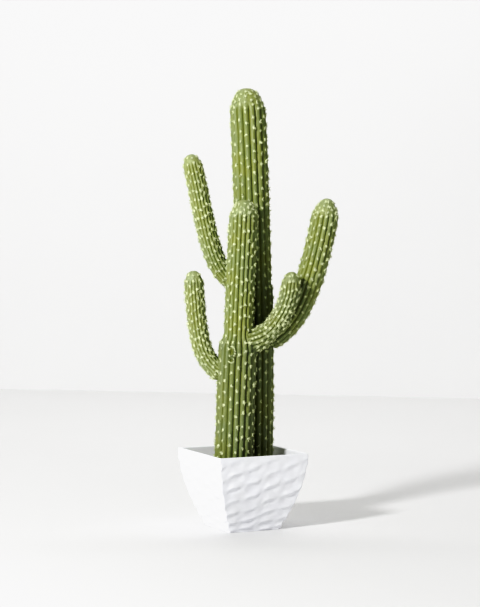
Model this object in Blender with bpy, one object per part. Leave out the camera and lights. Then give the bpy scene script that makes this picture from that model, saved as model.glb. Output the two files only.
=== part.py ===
"""Artificial saguaro cactus in a square tapered pot.

Two ribbed stems stand side by side on the pot's filling and carry four
upcurving arms. Each arm is two solids, an elbow that springs from its stem and
an upright that goes on from the elbow to the domed tip.

Metres, +Z up. The origin is the centre of the pot's flat underside, and the
pot's walls face +X, -X, +Y and -Y.
"""

import math

import bmesh
import bpy
from mathutils import Vector

# ---------------------------------------------------------------- clearances

GAP = 0.0003                 # between neighbouring solids

# ---------------------------------------------------------------- pot

POT_HEIGHT = 0.138
POT_RIM_SIDE = 0.175         # outer side of the square rim
POT_FOOT_SIDE = 0.099        # outer side of the square foot
POT_TAPER_POWER = 1.75       # 1 would be a straight taper; more bellies the walls out
POT_WALL = 0.0045
POT_FLOOR = 0.006
POT_COURSES = 10             # rows of faces up each wall

# ---------------------------------------------------------------- filling

FILL_TOP = 0.112             # level surface that the stems stand on
FILL_COURSES = 4

# ---------------------------------------------------------------- ribs

GROOVE_SHARE = 0.15          # depth of a groove as a share of the limb's radius
CREST_POWER = 0.65           # below 1 the crests are broad and the grooves narrow
GROOVE_FADE = 0.35           # share of a dome's height over which the grooves run out
# Places across one rib, from groove to groove, where a ring has a point.
STEM_RIB_POINTS = (0.0, 0.22, 0.5, 0.78)
ARM_RIB_POINTS = (0.0, 0.30, 0.70)

# ---------------------------------------------------------------- stems
# A stem's centre line is the parabola through its foot, shoulder and crown.
# Below the shoulder the stem is thick, above it thinner, up to a blunt dome,
# where the grooves run out. A low dome power makes a blunt bullet.

STEMS = {
    "tall_stem": {
        "foot": (0.0324, 0.0208),
        "shoulder": (0.0309, 0.0218, 0.433),
        "crown": (0.0179, 0.0283, 0.786),
        "foot_radius": 0.0356,
        "shoulder_radius": 0.0353,
        "shoulder_height": 0.008,
        "upper_radius": 0.0325,
        "dome_height": 0.040,
        "dome_power": 0.36,
        "rib_count": 16,
        "rib_turn": 0.0,
    },
    "short_stem": {
        "foot": (-0.0290, -0.0225),
        "shoulder": (-0.0230, -0.0255, 0.340),
        "crown": (-0.0145, -0.0300, 0.586),
        "foot_radius": 0.0346,
        "shoulder_radius": 0.0343,
        "shoulder_height": 0.014,
        "upper_radius": 0.0258,
        "dome_height": 0.031,
        "dome_power": 0.36,
        "rib_count": 18,
        "rib_turn": -1.8,
    },
}
# Rings of a stem, as shares of the stretch that each list is named for.
LOWER_RINGS = (0.5,)
SHOULDER_RINGS = (0.0, 0.6, 0.9, 1.0)
UPPER_RINGS = (0.33, 0.67, 1.0)

# ---------------------------------------------------------------- arms
# An arm lies in the upright plane through its stem at the azimuth given. Its
# centre line is a cubic curve from the root on the stem's axis to the tip,
# drawn by two handles. Every pair is (distance out from the stem, height).

ARMS = {
    "high_left_arm": {
        "stem": "tall_stem",
        "azimuth": 153.5,
        "rib_count": 16,
        "rib_turn": 2.5,
        "root_height": 0.4422,
        "root_handle": (0.0803, 0.4094),
        "bend_handle": (0.0837, 0.5544),
        "tip": (0.1156, 0.667),
        "root_radius": 0.0153,
        "body_radius": 0.0177,
        "bend_share": 0.46,
        "dome_height": 0.0210,
        "dome_power": 0.36,
    },
    "low_left_arm": {
        "stem": "short_stem",
        "azimuth": 145.5,
        "rib_count": 16,
        "rib_turn": -5.0,
        "root_height": 0.2595,
        "root_handle": (0.0633, 0.3000),
        "bend_handle": (0.0691, 0.3098),
        "tip": (0.0783, 0.4601),
        "root_radius": 0.0156,
        "body_radius": 0.0169,
        "bend_share": 0.54,
        "dome_height": 0.0210,
        "dome_power": 0.36,
    },
    "large_right_arm": {
        "stem": "tall_stem",
        "azimuth": -39.5,
        "rib_count": 15,
        "rib_turn": 6.7,
        "root_height": 0.3364,
        "root_handle": (0.0732, 0.3347),
        "bend_handle": (0.1098, 0.4394),
        "tip": (0.1334, 0.5895),
        "root_radius": 0.0235,
        "body_radius": 0.0246,
        "bend_share": 0.50,
        "dome_height": 0.0350,
        "dome_power": 0.42,
    },
    "small_right_arm": {
        "stem": "short_stem",
        "azimuth": -26.5,
        "rib_count": 15,
        "rib_turn": 0.0,
        "root_height": 0.3385,
        "root_handle": (0.0545, 0.3235),
        "bend_handle": (0.1000, 0.3990),
        "tip": (0.0927, 0.4595),
        "root_radius": 0.0198,
        "body_radius": 0.0176,
        "bend_share": 0.56,
        "dome_height": 0.0210,
        "dome_power": 0.38,
    },
}
ROOT_BLEND = 0.45            # share of an arm over which its radius settles
ROOT_SPREAD = 0.11           # share of an arm, inside its stem, over which it widens
ROOT_NARROW = 0.60           # share of its full radius that an arm starts with
ELBOW_RINGS = 7
UPRIGHT_RINGS = 5
CUTTER_REACH = 0.050         # how far a cutter runs above and below an arm's root
# Rings of a dome, as shares of its height below the tip.
DOME_RINGS = (0.66, 0.34, 0.12, 0.02)
CURVE_PIECES = 200           # straight pieces that an arm's length is measured in
HALVINGS = 40                # steps of the search for a place along an arm

# ---------------------------------------------------------------- colours

CACTUS_GREEN = (0.190, 0.255, 0.060)
POT_WHITE = (0.820, 0.830, 0.835)
FILLING_GREY = (0.300, 0.280, 0.250)
CACTUS_ROUGHNESS = 0.50
POT_ROUGHNESS = 0.45
FILLING_ROUGHNESS = 0.90
SMOOTH_ANGLE = 60.0          # degrees; a sharper fold between faces shows as an edge


# ---------------------------------------------------------------- helpers

def clear_scene():
    """Remove every object that the file starts with."""
    for item in list(bpy.data.objects):
        bpy.data.objects.remove(item, do_unlink=True)


def material(name, colour, roughness):
    """A plain Principled material."""
    made = bpy.data.materials.new(name)
    made.use_nodes = True
    shader = made.node_tree.nodes["Principled BSDF"]
    shader.inputs["Base Color"].default_value = (*colour, 1.0)
    shader.inputs["Roughness"].default_value = roughness
    shader.inputs["Metallic"].default_value = 0.0
    return made


def smoothstep(share):
    """Ease from 0 to 1, level at both ends."""
    held = min(max(share, 0.0), 1.0)
    return held * held * (3.0 - 2.0 * held)


def mix(low, high, share):
    """Straight interpolation."""
    return low + (high - low) * share


def ring_solid(name, rings, surface, pole=None, smooth=False):
    """Skin rings of equal length into one closed solid.

    The rings run counter-clockwise about the way they advance. The first ring
    is capped flat. The last is capped flat too, or drawn to the pole.
    """
    shape = bmesh.new()
    loops = [[shape.verts.new(point) for point in ring] for ring in rings]
    count = len(loops[0])
    for lower, upper in zip(loops, loops[1:]):
        for here in range(count):
            after = (here + 1) % count
            shape.faces.new((lower[here], lower[after], upper[after], upper[here]))
    shape.faces.new(list(reversed(loops[0])))
    if pole is None:
        shape.faces.new(loops[-1])
    else:
        peak = shape.verts.new(pole)
        for here in range(count):
            shape.faces.new((loops[-1][here], loops[-1][(here + 1) % count], peak))
    bmesh.ops.triangulate(shape, faces=[face for face in shape.faces if len(face.verts) > 4])
    mesh = bpy.data.meshes.new(name)
    shape.to_mesh(mesh)
    shape.free()
    mesh.materials.append(surface)
    if smooth:
        mesh.shade_smooth()
        mesh.set_sharp_from_angle(angle=math.radians(SMOOTH_ANGLE))
    made = bpy.data.objects.new(name, mesh)
    bpy.context.collection.objects.link(made)
    return made


def cut(target, cutter):
    """Take the cutter's shape out of the target with a live Boolean."""
    step = target.modifiers.new("Clear of " + cutter.name, "BOOLEAN")
    step.operation = "DIFFERENCE"
    step.solver = "EXACT"
    step.object = cutter


def hide(cutter):
    """Mark an object as a cutter, not a part."""
    cutter.hide_render = True
    cutter.display_type = "WIRE"


# ---------------------------------------------------------------- ribbed limbs

def rib_section(rib_count, rib_points, turn):
    """Angle and height of each point of one ribbed ring.

    The height across a rib is sin(pi x) to a low power: 0 in the groove and 1
    on the crest, which is broad.
    """
    section = []
    for rib in range(rib_count):
        for across in rib_points:
            angle = 2.0 * math.pi * (rib + across) / rib_count + math.radians(turn)
            section.append((angle, math.sin(math.pi * across) ** CREST_POWER))
    return section


def groove_left(share_below_tip):
    """How deep the grooves still are on a dome, from 1 at its foot to 0 above."""
    return smoothstep((share_below_tip - 1.0 + GROOVE_FADE) / GROOVE_FADE)


def ribbed_ring(centre, side, front, radius, section, groove=1.0, spare=0.0):
    """One ribbed ring about a centre, in the plane of two unit directions."""
    ring = []
    for angle, height in section:
        reach = radius * (1.0 - GROOVE_SHARE * groove * (1.0 - height)) + spare
        ring.append(centre + side * (reach * math.cos(angle)) + front * (reach * math.sin(angle)))
    return ring


# ---------------------------------------------------------------- stems

def stem_centre(stem, height):
    """Point of a stem's centre line at a height."""
    foot_z = FILL_TOP + GAP
    shoulder_z = stem["shoulder"][2]
    crown_z = stem["crown"][2]
    place = []
    for axis in (0, 1):
        rise = (stem["shoulder"][axis] - stem["foot"][axis]) / (shoulder_z - foot_z)
        late = (stem["crown"][axis] - stem["shoulder"][axis]) / (crown_z - shoulder_z)
        bow = (late - rise) / (crown_z - foot_z)
        up = height - foot_z
        place.append(stem["foot"][axis] + rise * up + bow * up * (height - shoulder_z))
    return Vector((place[0], place[1], height))


def stem_radius(stem, height):
    """Crest radius of a stem at a height, from foot over shoulder to dome."""
    foot_z = FILL_TOP + GAP
    shoulder_top = stem["shoulder"][2]
    shoulder_foot = shoulder_top - stem["shoulder_height"]
    dome_foot = stem["crown"][2] - stem["dome_height"]
    if height <= shoulder_foot:
        share = (height - foot_z) / (shoulder_foot - foot_z)
        return mix(stem["foot_radius"], stem["shoulder_radius"], share)
    if height <= shoulder_top:
        share = min((height - shoulder_foot) / stem["shoulder_height"], 1.0)
        round_off = math.sqrt(1.0 - share * share)
        return mix(stem["upper_radius"], stem["shoulder_radius"], round_off)
    if height <= dome_foot:
        return stem["upper_radius"]
    left = (stem["crown"][2] - height) / stem["dome_height"]
    return stem["upper_radius"] * left ** stem["dome_power"]


def stem_heights(stem):
    """Heights of a stem's rings, closer together where its outline turns."""
    shoulder_top = stem["shoulder"][2]
    shoulder_foot = shoulder_top - stem["shoulder_height"]
    crown = stem["crown"][2]
    dome_foot = crown - stem["dome_height"]
    foot = FILL_TOP + GAP
    heights = [foot]
    heights += [mix(foot, shoulder_foot, share) for share in LOWER_RINGS]
    heights += [mix(shoulder_foot, shoulder_top, share) for share in SHOULDER_RINGS]
    heights += [mix(shoulder_top, dome_foot, share) for share in UPPER_RINGS]
    heights += [crown - stem["dome_height"] * share for share in DOME_RINGS]
    return heights


def stem_ring(stem, height, spare=0.0):
    """Level ribbed ring of a stem."""
    section = rib_section(stem["rib_count"], STEM_RIB_POINTS, stem["rib_turn"])
    centre = stem_centre(stem, height)
    groove = groove_left((stem["crown"][2] - height) / stem["dome_height"])
    side = Vector((1.0, 0.0, 0.0))
    front = Vector((0.0, 1.0, 0.0))
    return ribbed_ring(centre, side, front, stem_radius(stem, height), section, groove, spare)


def make_stem(name, surface):
    """A whole stem, from its flat cut on the filling to its crown."""
    stem = STEMS[name]
    rings = [stem_ring(stem, height) for height in stem_heights(stem)]
    crown = stem_centre(stem, stem["crown"][2])
    return ring_solid(name, rings, surface, pole=crown, smooth=True)


def make_stem_cutter(arm_name, surface):
    """A stretch of the arm's stem, a gap fatter, that the arm's root is cut by."""
    arm = ARMS[arm_name]
    stem = STEMS[arm["stem"]]
    low = arm["root_height"] - CUTTER_REACH
    high = arm["root_height"] + CUTTER_REACH
    between = [height for height in stem_heights(stem) if low < height < high]
    heights = [low, *between, high]
    rings = [stem_ring(stem, height, spare=GAP) for height in heights]
    cutter = ring_solid(arm_name + "_root_cutter", rings, surface)
    hide(cutter)
    return cutter


# ---------------------------------------------------------------- arms

def arm_point(arm, share):
    """Distance out and height of an arm's centre line, and its heading."""
    knots = ((0.0, arm["root_height"]), arm["root_handle"], arm["bend_handle"], arm["tip"])
    rest = 1.0 - share
    weights = (rest ** 3, 3.0 * rest * rest * share, 3.0 * rest * share * share, share ** 3)
    out = sum(weight * knot[0] for weight, knot in zip(weights, knots))
    up = sum(weight * knot[1] for weight, knot in zip(weights, knots))
    slopes = (rest * rest, 2.0 * rest * share, share * share)
    steps = [(after[0] - here[0], after[1] - here[1]) for here, after in zip(knots, knots[1:])]
    run = sum(slope * step[0] for slope, step in zip(slopes, steps))
    rise = sum(slope * step[1] for slope, step in zip(slopes, steps))
    length = math.hypot(run, rise)
    return out, up, run / length, rise / length


def arm_length(arm, start, end):
    """Length of an arm's centre line between two shares of its curve."""
    total = 0.0
    last = arm_point(arm, start)
    for piece in range(1, CURVE_PIECES + 1):
        here = arm_point(arm, mix(start, end, piece / CURVE_PIECES))
        total += math.hypot(here[0] - last[0], here[1] - last[1])
        last = here
    return total


def share_before_tip(arm, distance):
    """Share of the curve at a given distance before the tip."""
    low = 0.0
    high = 1.0
    for _ in range(HALVINGS):
        middle = 0.5 * (low + high)
        if arm_length(arm, middle, 1.0) > distance:
            low = middle
        else:
            high = middle
    return 0.5 * (low + high)


def arm_frame(arm, share):
    """Centre, side and front directions of an arm's ring, in world space."""
    out, up, run, rise = arm_point(arm, share)
    stem = STEMS[arm["stem"]]
    axis = stem_centre(stem, arm["root_height"])
    bearing = math.radians(arm["azimuth"])
    outward = Vector((math.cos(bearing), math.sin(bearing), 0.0))
    upward = Vector((0.0, 0.0, 1.0))
    centre = Vector((axis.x, axis.y, 0.0)) + outward * out + upward * up
    heading = outward * run + upward * rise
    side = outward.cross(upward).normalized()
    front = heading.cross(side).normalized()
    return centre, side, front, heading


def arm_ring(arm, share, radius, groove=1.0, shift=0.0):
    """Ribbed ring square to an arm's centre line, shifted along it by a distance."""
    centre, side, front, heading = arm_frame(arm, share)
    section = rib_section(arm["rib_count"], ARM_RIB_POINTS, arm["rib_turn"])
    return ribbed_ring(centre + heading * shift, side, front, radius, section, groove)


def arm_radius(arm, share):
    """Crest radius of an arm before its dome, less at the start inside the stem."""
    start = mix(ROOT_NARROW, 1.0, min(share / ROOT_SPREAD, 1.0))
    return start * mix(arm["root_radius"], arm["body_radius"], smoothstep(share / ROOT_BLEND))


def make_elbow(arm_name, surface):
    """The bent lower part of an arm, cut clear of its stem."""
    arm = ARMS[arm_name]
    rings = []
    for step in range(ELBOW_RINGS):
        share = arm["bend_share"] * step / (ELBOW_RINGS - 1)
        shift = -0.5 * GAP if step == ELBOW_RINGS - 1 else 0.0
        rings.append(arm_ring(arm, share, arm_radius(arm, share), shift=shift))
    elbow = ring_solid(arm_name + "_elbow", rings, surface, smooth=True)
    cut(elbow, make_stem_cutter(arm_name, surface))
    return elbow


def make_upright(arm_name, surface):
    """The upper part of an arm, from the elbow to the domed tip."""
    arm = ARMS[arm_name]
    dome_start = share_before_tip(arm, arm["dome_height"])
    rings = []
    for step in range(UPRIGHT_RINGS):
        share = mix(arm["bend_share"], dome_start, step / (UPRIGHT_RINGS - 1))
        shift = 0.5 * GAP if step == 0 else 0.0
        rings.append(arm_ring(arm, share, arm_radius(arm, share), shift=shift))
    for below in DOME_RINGS:
        share = share_before_tip(arm, arm["dome_height"] * below)
        radius = arm["body_radius"] * below ** arm["dome_power"]
        rings.append(arm_ring(arm, share, radius, groove_left(below)))
    tip = arm_frame(arm, 1.0)[0]
    return ring_solid(arm_name + "_upright", rings, surface, pole=tip, smooth=True)


# ---------------------------------------------------------------- pot and filling

def pot_half_side(height):
    """Half of the pot's outer side at a height; the walls belly outwards."""
    down = 1.0 - height / POT_HEIGHT
    narrowing = 0.5 * (POT_RIM_SIDE - POT_FOOT_SIDE)
    return 0.5 * POT_RIM_SIDE - narrowing * down ** POT_TAPER_POWER


def square_ring(half, height):
    """Four corners, counter-clockwise from above."""
    return [
        Vector((-half, -half, height)),
        Vector((half, -half, height)),
        Vector((half, half, height)),
        Vector((-half, half, height)),
    ]


def make_pot(surface):
    """The square pot: up the outside, over the rim and down the inside."""
    rings = []
    for course in range(POT_COURSES + 1):
        height = POT_HEIGHT * course / POT_COURSES
        rings.append(square_ring(pot_half_side(height), height))
    for course in range(POT_COURSES, -1, -1):
        height = mix(POT_FLOOR, POT_HEIGHT, course / POT_COURSES)
        rings.append(square_ring(pot_half_side(height) - POT_WALL, height))
    return ring_solid("pot", rings, surface)


def make_filling(surface):
    """The block inside the pot that the stems stand on."""
    rings = []
    for course in range(FILL_COURSES + 1):
        height = mix(POT_FLOOR + GAP, FILL_TOP, course / FILL_COURSES)
        rings.append(square_ring(pot_half_side(height) - POT_WALL - 2.0 * GAP, height))
    return ring_solid("filling", rings, surface)


# ---------------------------------------------------------------- assembly

def build():
    """Make every part of the potted cactus."""
    clear_scene()
    make_pot(material("pot white", POT_WHITE, POT_ROUGHNESS))
    make_filling(material("filling grey", FILLING_GREY, FILLING_ROUGHNESS))
    for name in STEMS:
        green = material(name.replace("_", " ") + " green", CACTUS_GREEN, CACTUS_ROUGHNESS)
        make_stem(name, green)
    for name in ARMS:
        green = material(name.replace("_", " ") + " green", CACTUS_GREEN, CACTUS_ROUGHNESS)
        make_elbow(name, green)
        make_upright(name, green)


build()
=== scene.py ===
"""Potted artificial saguaro cactus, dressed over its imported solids.

The solids give every size that a box can give. The limbs' centre lines are the
same curves that the solids were made from. Each limb gets a finely ribbed skin
with tufts of cream fibre down its ribs, the pot gets its pressed scales, and
the filling gets its grit.
"""

import itertools
import math

import bpy
import numpy as np
from bpy.props import FloatProperty, FloatVectorProperty, IntProperty, PointerProperty
from mathutils import Matrix, Vector


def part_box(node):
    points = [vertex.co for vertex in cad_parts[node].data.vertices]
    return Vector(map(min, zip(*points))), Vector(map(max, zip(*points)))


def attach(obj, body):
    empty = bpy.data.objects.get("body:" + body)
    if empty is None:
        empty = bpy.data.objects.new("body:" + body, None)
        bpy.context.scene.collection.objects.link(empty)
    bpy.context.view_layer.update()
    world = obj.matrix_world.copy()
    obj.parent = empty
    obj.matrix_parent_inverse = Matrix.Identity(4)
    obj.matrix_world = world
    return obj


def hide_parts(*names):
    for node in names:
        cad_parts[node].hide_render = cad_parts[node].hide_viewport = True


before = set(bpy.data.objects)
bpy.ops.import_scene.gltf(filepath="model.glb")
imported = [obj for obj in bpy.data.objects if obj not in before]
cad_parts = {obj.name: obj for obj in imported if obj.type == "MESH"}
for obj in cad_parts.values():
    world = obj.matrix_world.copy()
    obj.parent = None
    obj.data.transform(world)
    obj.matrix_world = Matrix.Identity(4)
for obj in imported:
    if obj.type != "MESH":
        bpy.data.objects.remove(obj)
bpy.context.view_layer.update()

bl_info = {
    "name": "Potted Saguaro",
    "version": (1, 0, 0),
    "blender": (4, 5, 0),
    "location": "View3D > Sidebar > Saguaro",
    "description": "Skins, tufts, pot and grit of a potted artificial saguaro",
    "category": "Add Mesh",
}

BODY = "root"

# ---------------------------------------------------------------- sizes from the solids

POT_LOW, POT_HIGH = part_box("pot")
POT_HEIGHT = POT_HIGH[2]
POT_RIM_SIDE = POT_HIGH[0] - POT_LOW[0]
FILL_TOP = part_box("filling")[1][2]
STEM_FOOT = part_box("tall_stem")[0][2]

# ---------------------------------------------------------------- pot, as the solid has it

POT_FOOT_SIDE = 0.099
POT_TAPER_POWER = 1.75
POT_WALL = 0.0045
POT_CORNER = 0.0022          # radius of the pot's upright corners
LIP_ROUND = 0.0016           # radius of the rim's edges
INSIDE_DEPTH = 0.004         # how far the inner wall is carried on below the grit

# ---------------------------------------------------------------- limbs, as the solids have them

GROOVE_FADE = 0.35
STEMS = {
    "tall_stem": {
        "foot": (0.0324, 0.0208),
        "shoulder": (0.0309, 0.0218, 0.433),
        "crown": (0.0179, 0.0283, 0.786),
        "foot_radius": 0.0356,
        "shoulder_radius": 0.0353,
        "shoulder_height": 0.008,
        "shoulder_ease": 0.002,
        "upper_radius": 0.0325,
        "dome_height": 0.040,
        "dome_power": 0.36,
        "rib_count": 16,
        "rib_turn": 0.0,
        "tuft_spacing": 0.0195,
        "tuft_rings": (0.3175,),
        "bloom": 0.04,
        # painted shade over the lower part, which stands in the short stem's shadow
        "age": 0.6,
        "seed": 11,
    },
    "short_stem": {
        "foot": (-0.0290, -0.0225),
        "shoulder": (-0.0230, -0.0255, 0.340),
        "crown": (-0.0145, -0.0300, 0.586),
        "foot_radius": 0.0346,
        "shoulder_radius": 0.0343,
        "shoulder_height": 0.014,
        "shoulder_ease": 0.009,
        "upper_radius": 0.0258,
        "dome_height": 0.031,
        "dome_power": 0.36,
        "rib_count": 18,
        "rib_turn": -1.8,
        "tuft_spacing": 0.0215,
        "tuft_rings": (0.2228,),
        "bloom": 0.09,
        "age": 1.0,
        "seed": 23,
    },
}
ARMS = {
    "high_left_arm": {
        "stem": "tall_stem",
        "azimuth": 153.5,
        "rib_count": 16,
        "rib_turn": 2.5,
        "root_height": 0.4422,
        "root_handle": (0.0803, 0.4094),
        "bend_handle": (0.0837, 0.5544),
        "tip": (0.1156, 0.667),
        "root_radius": 0.0153,
        "body_radius": 0.0177,
        "dome_height": 0.0210,
        "dome_power": 0.36,
        "tuft_spacing": 0.0165,
        "heel": 0.0290,
        "heel_round": 0.0095,
        "knuckle": (0.0, 0.0),
        "bloom": 0.20,
        "tuft_rings": (0.0370,),
        "seed": 37,
    },
    "low_left_arm": {
        "stem": "short_stem",
        "azimuth": 145.5,
        "rib_count": 16,
        "rib_turn": -5.0,
        "root_height": 0.2595,
        "root_handle": (0.0633, 0.3000),
        "bend_handle": (0.0691, 0.3098),
        "tip": (0.0783, 0.4601),
        "root_radius": 0.0156,
        "body_radius": 0.0169,
        "dome_height": 0.0210,
        "dome_power": 0.36,
        "tuft_spacing": 0.0155,
        "heel": 0.0320,
        "heel_round": 0.0095,
        "knuckle": (0.0, 0.0),
        "bloom": 0.24,
        "age": 0.25,
        "tuft_rings": (0.0385,),
        "seed": 41,
    },
    "large_right_arm": {
        "stem": "tall_stem",
        "azimuth": -39.5,
        "rib_count": 15,
        "rib_turn": 6.7,
        "root_height": 0.3364,
        "root_handle": (0.0732, 0.3347),
        "bend_handle": (0.1098, 0.4394),
        "tip": (0.1334, 0.5895),
        "root_radius": 0.0235,
        "body_radius": 0.0246,
        "dome_height": 0.0350,
        "dome_power": 0.42,
        "tuft_spacing": 0.0180,
        "heel": 0.0270,
        "heel_round": 0.0095,
        "knuckle": (0.0, 0.0),
        "bloom": 0.12,
        "tuft_rings": (0.0410,),
        "seed": 53,
    },
    "small_right_arm": {
        "stem": "short_stem",
        "azimuth": -26.5,
        "rib_count": 15,
        "rib_turn": 0.0,
        "root_height": 0.3385,
        "root_handle": (0.0545, 0.3235),
        "bend_handle": (0.1000, 0.3990),
        "tip": (0.0927, 0.4595),
        "root_radius": 0.0198,
        "body_radius": 0.0176,
        "dome_height": 0.0210,
        "dome_power": 0.38,
        "tuft_spacing": 0.0126,
        "heel": 0.0170,
        "heel_round": 0.0045,
        "knuckle": (0.0480, 0.0028),
        "bloom": 0.19,
        "age": 0.9,
        "tuft_rings": (0.0330, -0.0840),
        "seed": 67,
    },
}
ROOT_BLEND = 0.45
HEEL_DEEP = 0.0040           # how far an arm's skin goes on inside its stem
HEEL_NARROW = 0.55           # its radius where the skin begins, as a share
HEEL_SWELL = 0.035           # how much the arm swells beside its rounded end
KNUCKLE_STEP = 0.0100        # length over which an arm narrows past its knuckle
DOME_BLOOM = 0.12            # how much more of the pale bloom lies on a dome
DARKENING_FADE = 0.016             # length over which the darkened lower skin gives way to the plain skin

# ---------------------------------------------------------------- fineness of the surfaces

# Places across one rib, from groove to groove, closer together in the groove.
RIB_ACROSS = (0.0, 0.035, 0.09, 0.17, 0.27, 0.385, 0.5, 0.615, 0.73, 0.83, 0.91, 0.965)
RING_STEP = 0.0022           # along a limb
DOME_RINGS = 16
SHOULDER_RINGS = 10
POT_ACROSS = 88              # points across one wall of the pot
POT_DOWN = 112               # points down the outside of a wall
SPINE_SAMPLES = 1200
TINY = 1e-9

# ---------------------------------------------------------------- the main view

VIEW_AZIMUTH = -26.5         # the camera looks along this bearing from +Y, degrees
CAMERA_DISTANCE = 3.5
CAMERA_HEIGHT = 0.575
CAMERA_ASIDE = -0.0061
CAMERA_PITCH = 2.84
CAMERA_ROLL = -0.35
CAMERA_LENS = 116.5


# ---------------------------------------------------------------- settings

class SaguaroSkinSettings(bpy.types.PropertyGroup):
    """Relief and colours of the ribbed skins."""

    groove_share: FloatProperty(
        name="Groove depth",
        description="Depth of a groove as a share of the limb's radius",
        default=0.15,
        min=0.0,
        max=0.3,
        subtype="FACTOR",
    )
    crest_power: FloatProperty(
        name="Crest power",
        description="Below 1 the crests are broad and the grooves narrow",
        default=0.62,
        min=0.3,
        max=2.0,
    )
    swelling: FloatProperty(
        name="Swelling under tufts",
        description="How far the crest swells under each tuft",
        default=0.0006,
        min=0.0,
        max=0.003,
        subtype="DISTANCE",
        unit="LENGTH",
    )
    crest_green: FloatVectorProperty(
        name="Crest green",
        description="Colour of the ribs' crests",
        default=(0.211, 0.254, 0.108),
        size=3,
        min=0.0,
        max=1.0,
        subtype="COLOR",
    )
    groove_green: FloatVectorProperty(
        name="Groove green",
        description="Colour down in the grooves",
        default=(0.186, 0.209, 0.050),
        size=3,
        min=0.0,
        max=1.0,
        subtype="COLOR",
    )
    bloom_green: FloatVectorProperty(
        name="Bloom",
        description="Colour of the pale bloom that lies over the arms and domes",
        default=(0.50, 0.55, 0.32),
        size=3,
        min=0.0,
        max=1.0,
        subtype="COLOR",
    )


class SaguaroTuftSettings(bpy.types.PropertyGroup):
    """Size, number and colour of the fibre tufts."""

    cushion_radius: FloatProperty(
        name="Cushion radius",
        description="Radius of the felted cushion in the middle of a tuft",
        default=0.0020,
        min=0.0002,
        max=0.01,
        subtype="DISTANCE",
        unit="LENGTH",
    )
    fibre_length: FloatProperty(
        name="Fibre length",
        description="Mean length of the fibres that spread from a tuft",
        default=0.0037,
        min=0.0002,
        max=0.02,
        subtype="DISTANCE",
        unit="LENGTH",
    )
    fibre_count: IntProperty(
        name="Fibres",
        description="Fibres in one tuft",
        default=24,
        min=3,
        max=40,
    )
    cream: FloatVectorProperty(
        name="Cream",
        description="Colour of the fibre",
        default=(0.690, 0.745, 0.465),
        size=3,
        min=0.0,
        max=1.0,
        subtype="COLOR",
    )


class SaguaroPotSettings(bpy.types.PropertyGroup):
    """Relief and white of the pot, and its grit."""

    scale_depth: FloatProperty(
        name="Scale depth",
        description="How far the pressed scales stand out of the wall",
        default=0.0034,
        min=0.0,
        max=0.01,
        subtype="DISTANCE",
        unit="LENGTH",
    )
    scale_height: FloatProperty(
        name="Scale height",
        description="Height of one row of scales",
        default=0.0252,
        min=0.005,
        max=0.1,
        subtype="DISTANCE",
        unit="LENGTH",
    )
    pot_white: FloatVectorProperty(
        name="Pot white",
        description="Colour of the pot",
        default=(0.860, 0.868, 0.908),
        size=3,
        min=0.0,
        max=1.0,
        subtype="COLOR",
    )
    stone_count: IntProperty(
        name="Stones",
        description="Loose stones of grit on the filling",
        default=1500,
        min=0,
        max=5000,
    )


class SaguaroStageSettings(bpy.types.PropertyGroup):
    """Lights and surroundings."""

    key_power: FloatProperty(
        name="Key power",
        description="Power of the soft key light",
        default=157.0,
        min=0.0,
        subtype="POWER",
        unit="POWER",
    )
    fill_strength: FloatProperty(
        name="Fill strength",
        description="Strength of the even light from all round",
        default=0.40,
        min=0.0,
    )
    wall_power: FloatProperty(
        name="Wall power",
        description="Power of the light that washes the wall behind",
        default=48.0,
        min=0.0,
        subtype="POWER",
        unit="POWER",
    )
    floor_white: FloatVectorProperty(
        name="Floor white",
        description="Colour of the floor",
        default=(0.784, 0.782, 0.780),
        size=3,
        min=0.0,
        max=1.0,
        subtype="COLOR",
    )
    wall_white: FloatVectorProperty(
        name="Wall white",
        description="Colour of the wall",
        default=(0.823, 0.822, 0.824),
        size=3,
        min=0.0,
        max=1.0,
        subtype="COLOR",
    )


# ---------------------------------------------------------------- mesh and node helpers

GRAIN_HIGH = 0.0006          # height of the grain's bumps


def smoothstep(share):
    """Ease from 0 to 1, level at both ends: 3 t squared less 2 t cubed."""
    held = np.clip(share, 0.0, 1.0)
    return held * held * (3.0 - 2.0 * held)


def unit(vectors):
    """Vectors divided by their lengths."""
    lengths = np.linalg.norm(vectors, axis=-1, keepdims=True)
    return vectors / np.maximum(lengths, TINY)


def put_mesh(name, points, faces, surface, smooth=True, values=None):
    """An object at the origin from arrays: points (n, 3) and lists of face arrays."""
    mesh = bpy.data.meshes.new(name)
    mesh.vertices.add(len(points))
    mesh.vertices.foreach_set("co", np.asarray(points, dtype=np.float32).ravel())
    corners = np.concatenate([block.ravel() for block in faces])
    sizes = np.concatenate([np.full(len(block), block.shape[1]) for block in faces])
    starts = np.concatenate([[0], np.cumsum(sizes)[:-1]])
    mesh.loops.add(len(corners))
    mesh.loops.foreach_set("vertex_index", corners.astype(np.int32))
    mesh.polygons.add(len(sizes))
    mesh.polygons.foreach_set("loop_start", starts.astype(np.int32))
    mesh.polygons.foreach_set("use_smooth", np.full(len(sizes), smooth))
    for key, column in (values or {}).items():
        layer = mesh.attributes.new(key, "FLOAT", "POINT")
        layer.data.foreach_set("value", np.asarray(column, dtype=np.float32).ravel())
    mesh.update(calc_edges=True)
    mesh.validate()
    mesh.materials.append(surface)
    made = bpy.data.objects.new(name, mesh)
    bpy.context.collection.objects.link(made)
    return made


def grid_quads(rows, columns):
    """Quads of a grid of points whose columns close round, rows running away."""
    row, column = np.meshgrid(np.arange(rows - 1), np.arange(columns), indexing="ij")
    after = (column + 1) % columns
    quads = np.stack(
        [
            row * columns + column,
            row * columns + after,
            (row + 1) * columns + after,
            (row + 1) * columns + column,
        ],
        axis=-1,
    )
    return quads.reshape(-1, 4)


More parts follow.
